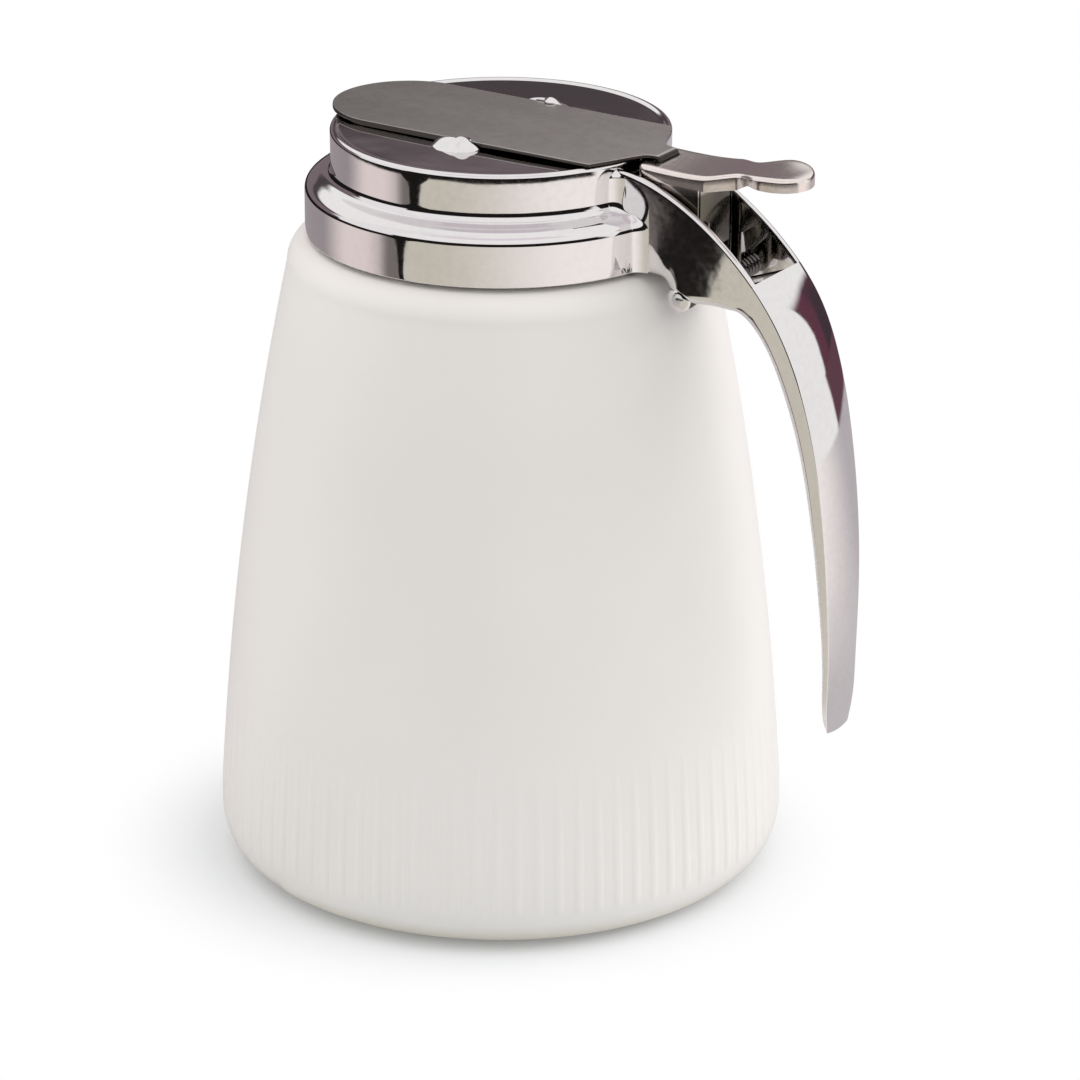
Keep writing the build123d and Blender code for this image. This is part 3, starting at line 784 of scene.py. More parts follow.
back_line = np.array(spline(
    [(31, 156.4), (39, 154.8), (52.9, 148.2), (62.5, 140.3), (69.8, 131.3), (75.1, 119.1),
     (78.9, 103.3), (81.8, 74.3), (81.98, 57.3), (81.4, HANDLE_TIP + 1), (81.3, HANDLE_TIP)], 700,
))
inner_line = np.array(spline(
    [(60.2, 131.4), (64.8, 128.9), (70.2, 119.5), (74.4, 106.1), (77.2, 91.8), (79.7, 69.9),
     (80.3, 57.4), (80.4, HANDLE_TIP + 2.2)], 700, start=(1, 0), end=(0, -1),
))
lower_line = spline(
    [(30, COLLAR_BOTTOM), (41.5, COLLAR_BOTTOM), (44.4, 135.2), (46.4, 132.7), (50.0, 131.3),
     (55.5, 131.5), (60.2, 131.4)], 300, start=(1, 0), end=(1, 0),
)
lower_line = np.array(lower_line + [tuple(p) for p in inner_line[1:120]])
print("handle length:", round(float(lengths(back_line)[-1])), "mm")


# %% Rounded edges by distance
def distance_to(line, x, z):
    """The shortest distance from a point to a line of points."""
    start, end = line[:-1], line[1:]
    span = end - start
    reach = np.sum((np.array([x, z]) - start) * span, axis=1) / np.sum(span * span, axis=1)
    foot = start + span * np.clip(reach, 0, 1)[:, None]
    return float(np.min(np.hypot(foot[:, 0] - x, foot[:, 1] - z)))


def fall_away(distance, reach, depth):
    """How far a rounded edge has dropped at a distance from the edge: a quarter ellipse."""
    if distance >= reach:
        return 0.0
    return depth * (1 - sqrt(max(1 - ((reach - distance) / reach) ** 2, 0)))


def height_on(line, x):
    return float(np.interp(x, line[:, 0], line[:, 1]))


TOP_EDGE, INNER_EDGE, LOWER_EDGE_REACH, LOWER_EDGE_DEPTH = 0.6, 0.25, 1.7, 0.9
PLAIN_FROM = 1.5
edge_steps = np.array([0, 0.04, 0.12, 0.25, 0.42, 0.62, 0.9, 1.25, 1.7])


def wall_section(x):
    """A closed section of the near wall at one place along X."""
    top, bottom = height_on(back_line, x), height_on(lower_line, x)
    span = top - bottom
    shares = np.concatenate([edge_steps / span, np.linspace(1.9, span - 1.0, 9) / span])
    shares = np.concatenate([shares, 1 - edge_steps[6::-1] / span])
    ring = []
    for share in shares:
        z = bottom + share * span
        drop = fall_away(distance_to(lower_line, x, z), LOWER_EDGE_REACH, LOWER_EDGE_DEPTH)
        drop += fall_away(distance_to(back_line, x, z), TOP_EDGE, TOP_EDGE)
        ring.append((x, -BOX_HALF_WIDTH + drop, z))
    inner = -BOX_HALF_WIDTH + BOX_WALL
    ring += [(x, inner - INNER_EDGE, top), (x, inner - 0.08, top - 0.06)]
    ring += [(x, inner, top - INNER_EDGE)]
    ring += [(x, inner, z) for z in np.linspace(top - PLAIN_FROM, bottom + PLAIN_FROM, 5)]
    ring += [(x, inner, bottom)]
    return ring


wall_places = np.concatenate([
    np.arange(31, 42, 0.7), np.arange(42, 50, 0.25), np.arange(50, WEB_START, 0.5), [WEB_START],
])
near_sections = [wall_section(float(x)) for x in wall_places]
near_wall = loft("near_wall", near_sections)
far_wall = loft("far_wall", [[(x, -y, z) for x, y, z in ring] for ring in near_sections])
print("wall sections:", len(near_sections))

# %% [markdown]
# The handle's back is crowned, and its width falls steadily in front view. Where the sections
# leave the box they are upright, and they swing round until they stand square to the handle.

# %% The handle
CROWN, TIP_ROUND, TIP_EDGE = 0.8, 0.5, 0.8
handle_widths = np.array(spline(
    [(134, BOX_HALF_WIDTH), (119, 8.5), (100, 7.4), (74, 6.4), (57, 5.5), (HANDLE_TIP + 1.5, 4.4)],
    200, start=(-1, 0), end=(-1, -0.35),
))


def half_width(height):
    """Half the handle's width at a height, drawn in at the tip."""
    line = handle_widths[::-1]
    width = float(np.interp(height, line[:, 0], line[:, 1]))
    return width - fall_away(height - HANDLE_TIP - TIP_EDGE, TIP_ROUND, TIP_ROUND)


def point_at(line, along, distance):
    return np.array([np.interp(distance, along, line[:, c]) for c in (0, 1)])


def handle_section(outer, inner, normal, crown, edge):
    """A closed section between an outer and an inner point, crowned on its outer side."""
    length = float(np.hypot(*(outer - inner)))
    across = (outer - inner) / length
    slant = max(abs(float(across @ normal)), 0.3)
    width = half_width(float(outer[1] * 0.6 + inner[1] * 0.4))
    edge_reach = min(edge / slant, length * 0.3)
    low_reach = min(LOWER_EDGE_REACH / slant, length * 0.42)
    low_depth = LOWER_EDGE_DEPTH * min(1, low_reach * slant / LOWER_EDGE_REACH + 0.25)
    half = [(0, share * (width - low_depth)) for share in np.linspace(0, 0.9, 5)]
    for angle in np.radians(np.linspace(0, 90, 9)):
        half.append((low_reach * (1 - cos(angle)), width - low_depth * (1 - sin(angle))))
    side = length - edge_reach - low_reach
    half += [(low_reach + share * side, width) for share in (0.25, 0.5, 0.75)]
    for angle in np.radians(np.linspace(0, 80, 8)):
        half.append((length - edge_reach * (1 - sin(angle)), width - edge * (1 - cos(angle))))
    last_up, last_y = half[-1]
    rise = length + crown / slant - last_up
    crown_shares = np.linspace(0.93, 0, 12)
    half += [(last_up + rise * (1 - share**2), last_y * share) for share in crown_shares]
    ring = []
    for up, y in half + [(up, -y) for up, y in reversed(half[1:-1])]:
        place = inner + across * up
        ring.append((float(place[0]), -y, float(place[1])))
    return ring


print("handle half width at the box:", BOX_HALF_WIDTH, "near the tip:", round(half_width(46), 2))

# %% Sections down the handle
SECTION_COUNT, SWING_END, TIP_START, TANGENT_STEP = 150, 0.26, 0.97, 0.01
back_along = lengths(back_line)
inner_along = lengths(inner_line)
back_start = float(np.interp(WEB_START, back_line[:, 0], back_along))
inner_start = float(np.interp(WEB_START, inner_line[:, 0], inner_along))


def back_point(share):
    """A point on the handle's back, by its share of the way from the box to the tip."""
    way = back_start + min(max(share, 0), 1) * (back_along[-1] - back_start)
    return point_at(back_line, back_along, way)


shares = np.linspace(0, 1, SECTION_COUNT)
nearest = []
for share in shares:
    gaps = np.hypot(*(inner_line - back_point(share)).T)
    nearest.append(float(inner_along[int(np.argmin(gaps))]))
nearest = np.convolve(np.pad(nearest, 4, mode="edge"), np.ones(9) / 9, mode="valid")
handle_sections = []
for share, inner_place in zip(shares, nearest):
    inner_place += (1 - smooth_step(0, SWING_END, share)) * (inner_start - nearest[0])
    if share > TIP_START:
        inner_place = np.interp(share, [TIP_START, 1], [inner_place, inner_along[-1]])
    tangent = back_point(share + TANGENT_STEP) - back_point(share - TANGENT_STEP)
    normal = np.array([-tangent[1], tangent[0]]) / np.hypot(*tangent)
    crown = CROWN * smooth_step(0, 0.16, share) * (1 - 0.75 * smooth_step(0.35, 0.8, share))
    edge = TOP_EDGE - 0.42 * smooth_step(0.05, 0.3, share)
    inner = point_at(inner_line, inner_along, inner_place)
    handle_sections.append(handle_section(back_point(share), inner, normal, crown, edge))
handle = loft("handle", handle_sections)
print("handle sections:", len(handle_sections), "points in each", len(handle_sections[0]))

# %% [markdown]
# A ledge closes the bottom of the box in front of the handle; the spring's short arm rests on it.

# %% The ledge
LEDGE_SIDE_OVERLAP, LEDGE_END_OVERLAP = 0.1, 0.4
inside_half = BOX_HALF_WIDTH - BOX_WALL + LEDGE_SIDE_OVERLAP
ledge_sections = []
for x in np.linspace(LEDGE_START, WEB_START + LEDGE_END_OVERLAP, 14):
    bottom = height_on(lower_line, float(x))
    ledge_sections.append([
        (x, -inside_half, bottom), (x, inside_half, bottom),
        (x, inside_half, LEDGE_TOP), (x, -inside_half, LEDGE_TOP),
    ])
ledge = loft("ledge", ledge_sections)
print("ledge length:", WEB_START - LEDGE_START)

# %% [markdown]
# Where a wall leaves the collar the casting has a hollow fillet, which catches a bright flare. In
# any level section the fillet is an arc that touches the round collar and the flat wall, so it can
# be worked out row by row up the collar's outline.

# %% The fillets between collar and walls
FILLET_SIZES = [(135.7, 3.0), (154.4, 3.0), (154.8, 2.5), (155.3, 1.6), (155.8, 0.3)]
FILLET_INNER, PLAIN_ROWS_END, WALL_SUNK = 34.2, 154.2, 0.6
TOP_ROWS = np.linspace(154.3, 155.8, 16)


def fillet_sections(side):
    """The fillet's level sections, from the collar's foot up. It shrinks away near the rim."""
    rows = []
    outside_of_collar = collar_outline[:-6]
    outline = [p for p in outside_of_collar if p[0] > FILLET_INNER and p[1] < PLAIN_ROWS_END]
    outline += [(CYLINDER_RADIUS, z) for z in TOP_ROWS]
    for radius, height in outline:
        size = float(np.interp(height, *zip(*FILLET_SIZES)))
        centre_y = BOX_HALF_WIDTH + size
        centre_x = sqrt((radius + size) ** 2 - centre_y**2)
        collar_angle = degrees(atan2(-centre_y, -centre_x)) % 360
        ring = []
        for angle in np.radians(np.linspace(collar_angle, 270, 12)):
            ring.append((centre_x + size * cos(angle), centre_y + size * sin(angle)))
        in_wall = BOX_HALF_WIDTH - WALL_SUNK
        ring += [(ring[-1][0], in_wall), (ring[0][0] - 0.8, in_wall)]
        ring += [(ring[0][0] - 0.6, ring[0][1] - 0.5)]
        rows.append([(x, side * y, height) for x, y in ring])
    return rows


fillets = [loft("fillet", fillet_sections(side), sharp_angle=radians(60)) for side in (-1, 1)]
print("fillet rows:", len(fillet_sections(1)))

# %% [markdown]
# Two small ears hold the gate down. Each is half a lens with a short lip that reaches over the
# gate's edge. A boss stands round each end of the pivot pin.

# %% Ears and bosses
EAR_FACE, EAR_WIDTH, EAR_HEIGHT, EAR_HALF_LENGTH = 15.85, 4.7, 1.85, 5.4
EAR_SUNK, LIP_CLEARANCE = 0.8, 0.12
GATE_TOP = round(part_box("gate")[1].z / MM, 2)
LIP_PLACE, LIP_HALF_LENGTH, LIP_REACH, LIP_RISE = 1.7, 1.6, 1.5, 0.55


def ear(name, side):
    """A half-lens: upright on the side that guides the gate, falling softly to the disc outside."""
    rings = []
    foot = DISH_HEIGHT - EAR_SUNK
    for along in np.sin(np.radians(np.linspace(-90, 90, 41))):
        share = 1 - along**2
        x = EAR_HALF_LENGTH * along
        lip_share = max(1 - ((x - LIP_PLACE) / LIP_HALF_LENGTH) ** 2, 0)
        crest = EAR_HEIGHT * share**0.8 + 0.02 + LIP_RISE * lip_share
        width = EAR_WIDTH * sqrt(share) + 0.02
        top = DISH_HEIGHT + crest * 0.8
        under = min(GATE_TOP + LIP_CLEARANCE, top)
        edge = EAR_FACE - LIP_REACH * lip_share
        # Up the guiding face, out along the lip's underside, and back over its rounded end.
        profile = [(EAR_FACE, foot), (EAR_FACE, under), (edge, under)]
        profile += [(edge, under + 0.6 * (top - under))]
        profile += [(0.7 * edge + 0.3 * EAR_FACE, under + 0.9 * (top - under))]
        # Over the crest and softly down to the disc.
        for s in np.linspace(0.05, 1, 18):
            fall = smooth_step(0, 1, s) + 0.12 * (1 - min(s / 0.2, 1)) ** 2
            profile.append((EAR_FACE + width * s, DISH_HEIGHT - 0.1 + (crest + 0.1) * (1 - fall)))
        profile.append((EAR_FACE + width, foot))
        rings.append([(x, side * y, z) for y, z in profile])
    return loft(name, rings, sharp_angle=radians(50))


def round_bar(name, spot, low, high, radius, dome):
    """A bar along Y from low to high with domed ends. Its axis passes through a spot in XZ."""
    end = [(radius * sin(a), dome * radius * (1 - cos(a))) for a in np.linspace(0, pi / 2, 7)]
    rings = []
    for r, y in end + [(r, high - low - y) for r, y in reversed(end)]:
        angles = np.linspace(0, 2 * pi, 40, endpoint=False)
        r = max(r, 1e-4)
        rings.append([(spot[0] + r * cos(a), low + y, spot[1] + r * sin(a)) for a in angles])
    return loft(name, rings)


BOSS_DEPTH, BOSS_SUNK, BOSS_DOME = 0.15, 0.1, 0.25
top_parts = [collar, collar_thread, near_wall, far_wall, handle, ledge] + fillets
for side in (-1, 1):
    top_parts.append(ear("ear", side))
    boss_inner = side * (BOX_HALF_WIDTH - BOX_WALL + BOSS_SUNK)
    low, high = sorted((side * (BOX_HALF_WIDTH + BOSS_DEPTH), boss_inner))
    top_parts.append(round_bar("boss", PIVOT, low, high, LUG_RADIUS, BOSS_DOME))
cast_top = joined("cast_top", top_parts)
dress(cast_top, chrome, "cap", "chrome_plate", "top_casting")

# %% [markdown]
# ## The gate
# The gate is one strip of metal with a round nose. Its rear tapers to a tongue, and the tongue is
# bent down and hooked under the lever's cross pin. It is made as a ribbon: a side line, a width
# at each step along it, and a section with rounded edges.

# %% A ribbon of sheet metal
def ribbon(name, path, widths, thickness, edge, below=None):
    """Sheet along a side line in XZ, with a half width and an extra depth below at each point."""
    path = np.array(path)
    rings = []
    for k, (spot, width) in enumerate(zip(path, widths)):
        before, after = path[max(k - 1, 0)], path[min(k + 1, len(path) - 1)]
        run = (after - before) / np.hypot(*(after - before))
        normal = np.array([-run[1], run[0]])
        edge_now = min(edge, width * 0.5)
        extra = below[k] if below else 0
        half = []
        for angle in np.radians(np.linspace(-90, 90, 9)):
            half.append((width - edge_now * (1 - cos(angle)), thickness / 2 * sin(angle)))
        level = width - edge_now - 0.04
        flat = [(level * share, thickness / 2) for share in (1, 0.66, 0.33, 0, -0.33, -0.66, -1)]
        ring = []
        section = half + flat + [(-y, -n) for y, n in half] + [(-y, -n) for y, n in flat]
        for y, n in section:
            place = spot + normal * (n if n > 0 else n - extra)
            ring.append((float(place[0]), y, float(place[1])))
        rings.append(ring)
    return loft(name, rings, sharp_angle=radians(50))


NOSE_CENTRE, REAR_RADIUS = -22.6, 34.6
GATE_HALF_WIDTH, GATE_THICKNESS, GATE_EDGE = 15.5, 0.7, 0.1
TONGUE_HALF_WIDTH, TONGUE_BACK, TONGUE_BEND = 3.5, 40.0, 1.1
HOOK_GAP, HOOK_FLOOR, HOOK_TIP, HOOK_ROUND = 2.5, 151.3, 155.2, 0.8
GATE_MORE_AT_NOSE, GATE_MORE_MIDDLE = 0.15, 0.33
print("gate top:", GATE_TOP)

# %% The gate's side line and widths
middle = GATE_TOP - GATE_THICKNESS / 2
corner_x = sqrt(REAR_RADIUS**2 - GATE_HALF_WIDTH**2)
nose = arc((NOSE_CENTRE, 0), GATE_HALF_WIDTH, 179.5, 90, 30)
side = [(x, GATE_HALF_WIDTH) for x in np.linspace(NOSE_CENTRE, corner_x, 30)[1:]]
taper = spline(
    [(corner_x, GATE_HALF_WIDTH), (33.9, 9.5), (36.1, 5.0), (37.2, 3.8), (38.6, TONGUE_HALF_WIDTH)],
    30, start=(5.7, -11.6), end=(1, 0),
)[1:]
gate_plan = nose + side + taper
gate_path = [(x, middle) for x, y in gate_plan]
gate_widths = [y for x, y in gate_plan]
bend_middle = TONGUE_BEND - GATE_THICKNESS / 2
hook = arc((TONGUE_BACK - TONGUE_BEND, GATE_TOP - TONGUE_BEND), bend_middle, 90, 0, 9)
wall_x, floor_z = TONGUE_BACK - GATE_THICKNESS / 2, HOOK_FLOOR + GATE_THICKNESS / 2
far_x = TONGUE_BACK + HOOK_GAP + GATE_THICKNESS / 2
hook += arc((wall_x + HOOK_ROUND, floor_z + HOOK_ROUND), HOOK_ROUND, 180, 270, 7)
hook += arc((far_x - HOOK_ROUND, floor_z + HOOK_ROUND), HOOK_ROUND, 270, 360, 7)
hook += [(far_x, HOOK_TIP)]
gate_path += hook
gate_widths += [TONGUE_HALF_WIDTH] * len(hook)
gate_more = GATE_MORE_AT_NOSE + GATE_MORE_MIDDLE
gate_below = []
for x, _ in gate_path:
    middle_share, rear_share = smooth_step(-27.5, -24, x), smooth_step(-6, 14, x)
    gate_below.append(GATE_MORE_AT_NOSE + GATE_MORE_MIDDLE * middle_share - gate_more * rear_share)
gate = ribbon("gate_strip", gate_path, gate_widths, GATE_THICKNESS, GATE_EDGE, gate_below)
dress(gate, strip, "gate", "brushed_strip", "gate")

# %% [markdown]
# ## The thumb lever
# The lever's plate is a shell with a turned-down skirt and soft edges. It is lofted along its
# length: every section is a wide arch whose corners are rounded. The hollow underneath is a second,
# smaller loft that is cut away. The round tab is slightly dished for the thumb.

# %% The lever's plan and side view
LEVER_FRONT, LEVER_HALF_WIDTH, WIDEST_HALF_WIDTH = 36.6, 7.1, 7.6
LEVER_SHEET, PLATE_TOP, PLATE_EDGE = 1.2, 157.1, 0.85
FRONT_CORNER, NECK_START, WAIST_X, WAIST_HALF_WIDTH = 1.5, 52.6, 58.2, 5.1
TAB_RADIUS, TAB_CENTRE, TAB_TOP, TAB_SKIRT, TAB_FALL = 7.3, 64.65, 159.1, 2.4, 0.7
TAB_RIM, TAB_DISH, HOLLOW_EDGE = 1.6, 0.28, 0.3
SKIRT_FRONT, SKIRT_MIDDLE, SKIRT_WAIST = 2.7, 3.0, 2.3
TAB_END = TAB_CENTRE + TAB_RADIUS
neck_side = spline(
    [(NECK_START, WIDEST_HALF_WIDTH), (WAIST_X, WAIST_HALF_WIDTH), (TAB_CENTRE, TAB_RADIUS)],
    60, start=(1, -0.25), end=(1, 0),
)
plate_line = np.array(spline(
    [(LEVER_FRONT - 1, PLATE_TOP), (NECK_START, PLATE_TOP + 0.1), (WAIST_X, PLATE_TOP + 1.0),
     (TAB_CENTRE, TAB_TOP), (TAB_END + 1, TAB_TOP - TAB_FALL)], 200,
))


def plate_width(x, inset=0.0):
    """The plate's half width at a place along it."""
    front, end = LEVER_FRONT + inset, TAB_END - inset
    x = min(max(x, front + 1e-3), end - 1e-3)
    if x > TAB_CENTRE:
        return sqrt(max((TAB_RADIUS - inset) ** 2 - (x - TAB_CENTRE) ** 2, 0))
    if x > NECK_START:
        return float(np.interp(x, [p[0] for p in neck_side], [p[1] for p in neck_side])) - inset
    width = float(np.interp(x, [LEVER_FRONT, NECK_START], [LEVER_HALF_WIDTH, WIDEST_HALF_WIDTH]))
    corner = max(FRONT_CORNER - (x - front), 0)
    return width - inset - (FRONT_CORNER - sqrt(max(FRONT_CORNER**2 - corner**2, 0)))


def skirt_height(x):
    """The height of the skirt's lower edge."""
    return float(np.interp(
        x, [LEVER_FRONT - 1, NECK_START, WAIST_X, TAB_CENTRE - 3, TAB_END + 1],
        [PLATE_TOP - SKIRT_FRONT, PLATE_TOP - SKIRT_MIDDLE, PLATE_TOP - SKIRT_WAIST,
         TAB_TOP - TAB_SKIRT, TAB_TOP - TAB_FALL - TAB_SKIRT],
    ))


def arch_section(x, inset, drop, bottom):
    """A section of the plate: upright sides, rounded corners and a top that may be dished."""
    width = max(plate_width(x, inset), 0.02)
    top = height_on(plate_line, x) - drop
    from_end = min(x - LEVER_FRONT - inset, TAB_END - inset - x)
    top -= fall_away(max(from_end, 0), PLATE_EDGE, PLATE_EDGE) if inset == 0 else 0
    edge = PLATE_EDGE if inset == 0 else HOLLOW_EDGE
    corner = min(edge, width * 0.6)
    half = [(width, bottom), (width, (bottom + top - edge) / 2), (width, top - edge)]
    for angle in np.radians(np.linspace(12, 90, 8)):
        half.append((width - corner * (1 - cos(angle)), top - edge * (1 - sin(angle))))
    flat = half[-1][0]
    reach = max(1 - ((x - TAB_CENTRE) / (TAB_RADIUS - TAB_RIM)) ** 2, 0) if inset == 0 else 0
    for share in (0.85, 0.6, 0.3, 0.0):
        half.append((flat * share, top - TAB_DISH * reach * (1 - share**2)))
    return [(x, -y, z) for y, z in half] + [(x, y, z) for y, z in reversed(half[:-1])]


def lever_loft(name, inset, gap, count, skirt_drop):
    """The plate, or the hollow in it. Sections stand close at both ends, inside the gaps."""
    front, end = LEVER_FRONT + inset, TAB_END - inset
    places = np.concatenate([
        front + end_steps, np.linspace(LEVER_FRONT + gap[0], TAB_END - gap[1], count),
        end - end_steps[::-1],
    ])
    sections = []
    for x in places:
        sections.append(arch_section(float(x), inset, inset, skirt_height(float(x)) - skirt_drop))
    return loft(name, sections)


end_steps = np.array([0.0, 0.03, 0.1, 0.22, 0.4, 0.65, 1.0, 1.5])
plate = lever_loft("plate", 0, (2.2, 2.4), 70, 0)
cut(plate, lever_loft("hollow", LEVER_SHEET, (3.6, 3.6), 60, 5))
NOTCH_HALF_WIDTH, NOTCH_BACK, NOTCH_ROUND = 4.0, 40.3, 0.6
notch_end, notch_side = NOTCH_BACK - NOTCH_ROUND, NOTCH_HALF_WIDTH - NOTCH_ROUND
notch_outline = [(LEVER_FRONT - 1, -NOTCH_HALF_WIDTH), (notch_end, -NOTCH_HALF_WIDTH)]
notch_outline += arc((notch_end, -notch_side), NOTCH_ROUND, -90, 0, 5)
notch_outline += arc((notch_end, notch_side), NOTCH_ROUND, 0, 90, 5)
notch_outline += [(LEVER_FRONT - 1, NOTCH_HALF_WIDTH)]
cut(plate, prism("notch_block", notch_outline, PLATE_TOP - 8, PLATE_TOP + 2))
print("tab width:", 2 * TAB_RADIUS)

# %% [markdown]
# Two legs run down to the pivot, joined at the back by a web. They are flat sheet, so each is a
# side outline given a thickness, and its edges are broken with a small bevel.

# %% The lever's legs
LEG_HALF_WIDTH, LEG_BACK, LEG_FOOT, EYE_RADIUS = 6.6, 50.6, 140.5, 2.6
LEG_FRONT_LOW, LEG_FRONT_HIGH, LEG_EDGE, WEB_GAP = (42.4, 147.0), (38.4, 151.5), 0.2, 0.25
leg_top = PLATE_TOP - LEVER_SHEET + 0.2
leg_outline = [(LEG_BACK, leg_top), (LEG_BACK, LEG_FOOT)] + arc(PIVOT, EYE_RADIUS, 0, -180, 22)
leg_outline += [LEG_FRONT_LOW, LEG_FRONT_HIGH, (LEG_FRONT_HIGH[0], leg_top)]
web_front = LEG_BACK - LEVER_SHEET
web_outline = [(web_front, LEG_FOOT), (LEG_BACK, LEG_FOOT), (LEG_BACK, leg_top), (web_front, leg_top)]


def sheet(name, outline, low, high):
    """A flat sheet with its edges broken, from a side outline."""
    return modified(
        prism(name, outline, low, high, "XZ"), "BEVEL",
        width=LEG_EDGE * MM, segments=2, limit_method="ANGLE", angle_limit=radians(40),
    )


lever_parts = [plate]
for side in (-1, 1):
    low, high = sorted((side * LEG_HALF_WIDTH, side * (LEG_HALF_WIDTH - LEVER_SHEET)))
    lever_parts.append(sheet("leg", leg_outline, low, high))
web_half = LEG_HALF_WIDTH - WEB_GAP
lever_parts.append(sheet("web", web_outline, -web_half, web_half))
lever = joined("thumb_lever_shell", lever_parts)
dress(lever, nickel, "lever", "satin_nickel", "thumb_lever")

# %% [markdown]
# ## Pins, spring and gasket
# The pins are plain turned bars; the pivot's ends are slightly domed where they show on the box.
# The spring follows its wire's centre line, so a second small node tree sweeps a round section
# along a curve.

# %% The pins
PIVOT_RADIUS, PIVOT_HALF_LENGTH, PIVOT_DOME = 1.35, 9.8, 0.45
DRIVE_PIN, DRIVE_RADIUS, DRIVE_DOME = (41.25, 153.5), 1.0, 0.3
pivot_pin = round_bar(
    "pivot_pin_turned", PIVOT, -PIVOT_HALF_LENGTH, PIVOT_HALF_LENGTH, PIVOT_RADIUS, PIVOT_DOME,
)
dress(pivot_pin, steel, "cap", "steel_pin", "pivot_pin")
drive_pin = round_bar(
    "drive_pin_turned", DRIVE_PIN, -LEG_HALF_WIDTH, LEG_HALF_WIDTH, DRIVE_RADIUS, DRIVE_DOME,
)
dress(drive_pin, steel, "lever", "steel_pin", "drive_pin")


# %% The spring's wire
WIRE_RADIUS, COIL_RADIUS, COIL_PITCH = 0.4, 2.2, 1.25
COIL_START, COIL_END = 135, 291 + 5 * 360
LONG_ARM_RISE, SHORT_ARM_RUN, ARM_GAP, KNEE_TANGENT = 13.5, 12.1, 0.1, 0.62


def coil_point(angle):
    along = COIL_PITCH * (angle - (COIL_START + COIL_END) / 2) / 360
    return (PIVOT[0] + COIL_RADIUS * cos(radians(angle)), along,
            PIVOT[1] + COIL_RADIUS * sin(radians(angle)))


first = coil_point(COIL_START)
behind_web = LEG_BACK + WIRE_RADIUS + ARM_GAP
rise = behind_web - first[0]
knee_run = KNEE_TANGENT / sin(pi / 8) * cos(pi / 8)
knee_centre = (behind_web - knee_run, first[2] + rise + KNEE_TANGENT)
knee_size = behind_web - knee_centre[0]
wire_points = [(behind_web, first[1], first[2] + LONG_ARM_RISE)]
wire_points += [(x, first[1], z) for x, z in arc(knee_centre, knee_size, 0, -45, 7)]
wire_points += [coil_point(angle) for angle in range(COIL_START, COIL_END + 1, 12)]
last = coil_point(COIL_END)
slope = -cos(radians(COIL_END)) / sin(radians(COIL_END))
wire_points += [(last[0] + SHORT_ARM_RUN, last[1], last[2] + SHORT_ARM_RUN * slope)]


def wire_tree():
    """A tree that sweeps a round section along a curve."""
    graph, given = geometry_tree("round_wire", [("Radius", "Float")])
    section = graph.node("GeometryNodeCurvePrimitiveCircle", {
        "Resolution": 16, "Radius": given["Radius"],
    })
    sweep = graph.node("GeometryNodeCurveToMesh", {
        "Curve": given["Geometry"], "Profile Curve": section.outputs[0], "Fill Caps": True,
    })
    return ended(graph, sweep.outputs[0], given["Material"])


wire_curve = bpy.data.curves.new("wire_line", "CURVE")
wire_curve.dimensions = "3D"
wire_spline = wire_curve.splines.new("POLY")
wire_spline.points.add(len(wire_points) - 1)
for spot, (x, y, z) in zip(wire_spline.points, wire_points):
    spot.co = (x * MM, y * MM, z * MM, 1)
spring = grown("torsion_spring_wire", placed("wire_line", wire_curve), wire_tree(), {
    "Radius": WIRE_RADIUS * MM, "Material": wire_metal,
})
set_shading(spring.data)
dress(spring, wire_metal, "cap", "spring_wire", "torsion_spring")

# %% The gasket
GASKET_INNER, GASKET_OUTER, GASKET_THICKNESS, GASKET_EDGE = 32.3, 37.3, 1.6, 0.3
gasket_inner, gasket_outer = GASKET_INNER + GASKET_EDGE, GASKET_OUTER - GASKET_EDGE
gasket_low, gasket_high = NECK_TOP + GASKET_EDGE, NECK_TOP + GASKET_THICKNESS - GASKET_EDGE
gasket_corners = [
    (gasket_outer, gasket_low, -90), (gasket_outer, gasket_high, 0),
    (gasket_inner, gasket_high, 90), (gasket_inner, gasket_low, 180),
]
gasket_outline = []
for radius, height, start in gasket_corners:
    gasket_outline += arc((radius, height), GASKET_EDGE, start, start + 90, 5)
gasket = turned("gasket_ring", gasket_outline, 128)
dress(gasket, rubber, "seal", "seal_rubber", "gasket")

# %% [markdown]
# ## The camera
# The camera stands to the front right, a little over a metre away, looking down by about twenty
# degrees. A long lens keeps the upright lines nearly parallel. The object sits slightly left of
# the middle, which is a small shift of the lens and not a turn of the camera.

# %% Camera
AZIMUTH, ELEVATION, DISTANCE = radians(33.5), radians(21.62), 1.043
LOOK_AT = Vector((0, 0, 0.0671))
SENSOR_WIDTH, PHOTO_WIDTH = 36.0, 1080
FOCAL_LENGTH_IN_PIXELS, AXIS_COLUMN = 5009, 501


def bearing_to(turn, high):
    """A unit vector towards a bearing round the object and an elevation, both in radians."""
    return Vector((sin(turn) * cos(high), -cos(turn) * cos(high), sin(high)))


def facing_object(name, data, towards, distance):
    """A camera or a lamp at a distance from the point looked at, turned to face it."""
    piece = placed(name, data)
    piece.location = LOOK_AT + towards * distance
    piece.rotation_euler = (-towards).to_track_quat("-Z", "Y").to_euler()
    return piece


camera_data = bpy.data.cameras.new("camera")
camera_data.sensor_width = SENSOR_WIDTH
camera_data.lens = SENSOR_WIDTH * FOCAL_LENGTH_IN_PIXELS / PHOTO_WIDTH
camera_data.shift_x = (PHOTO_WIDTH / 2 - AXIS_COLUMN) / PHOTO_WIDTH
camera_data.clip_start, camera_data.clip_end = 0.05, 20
camera = facing_object("camera", camera_data, bearing_to(AZIMUTH, ELEVATION), DISTANCE)
bpy.context.scene.camera = camera
print("lens:", round(camera_data.lens, 1), "mm, at", tuple(round(c, 3) for c in camera.location))

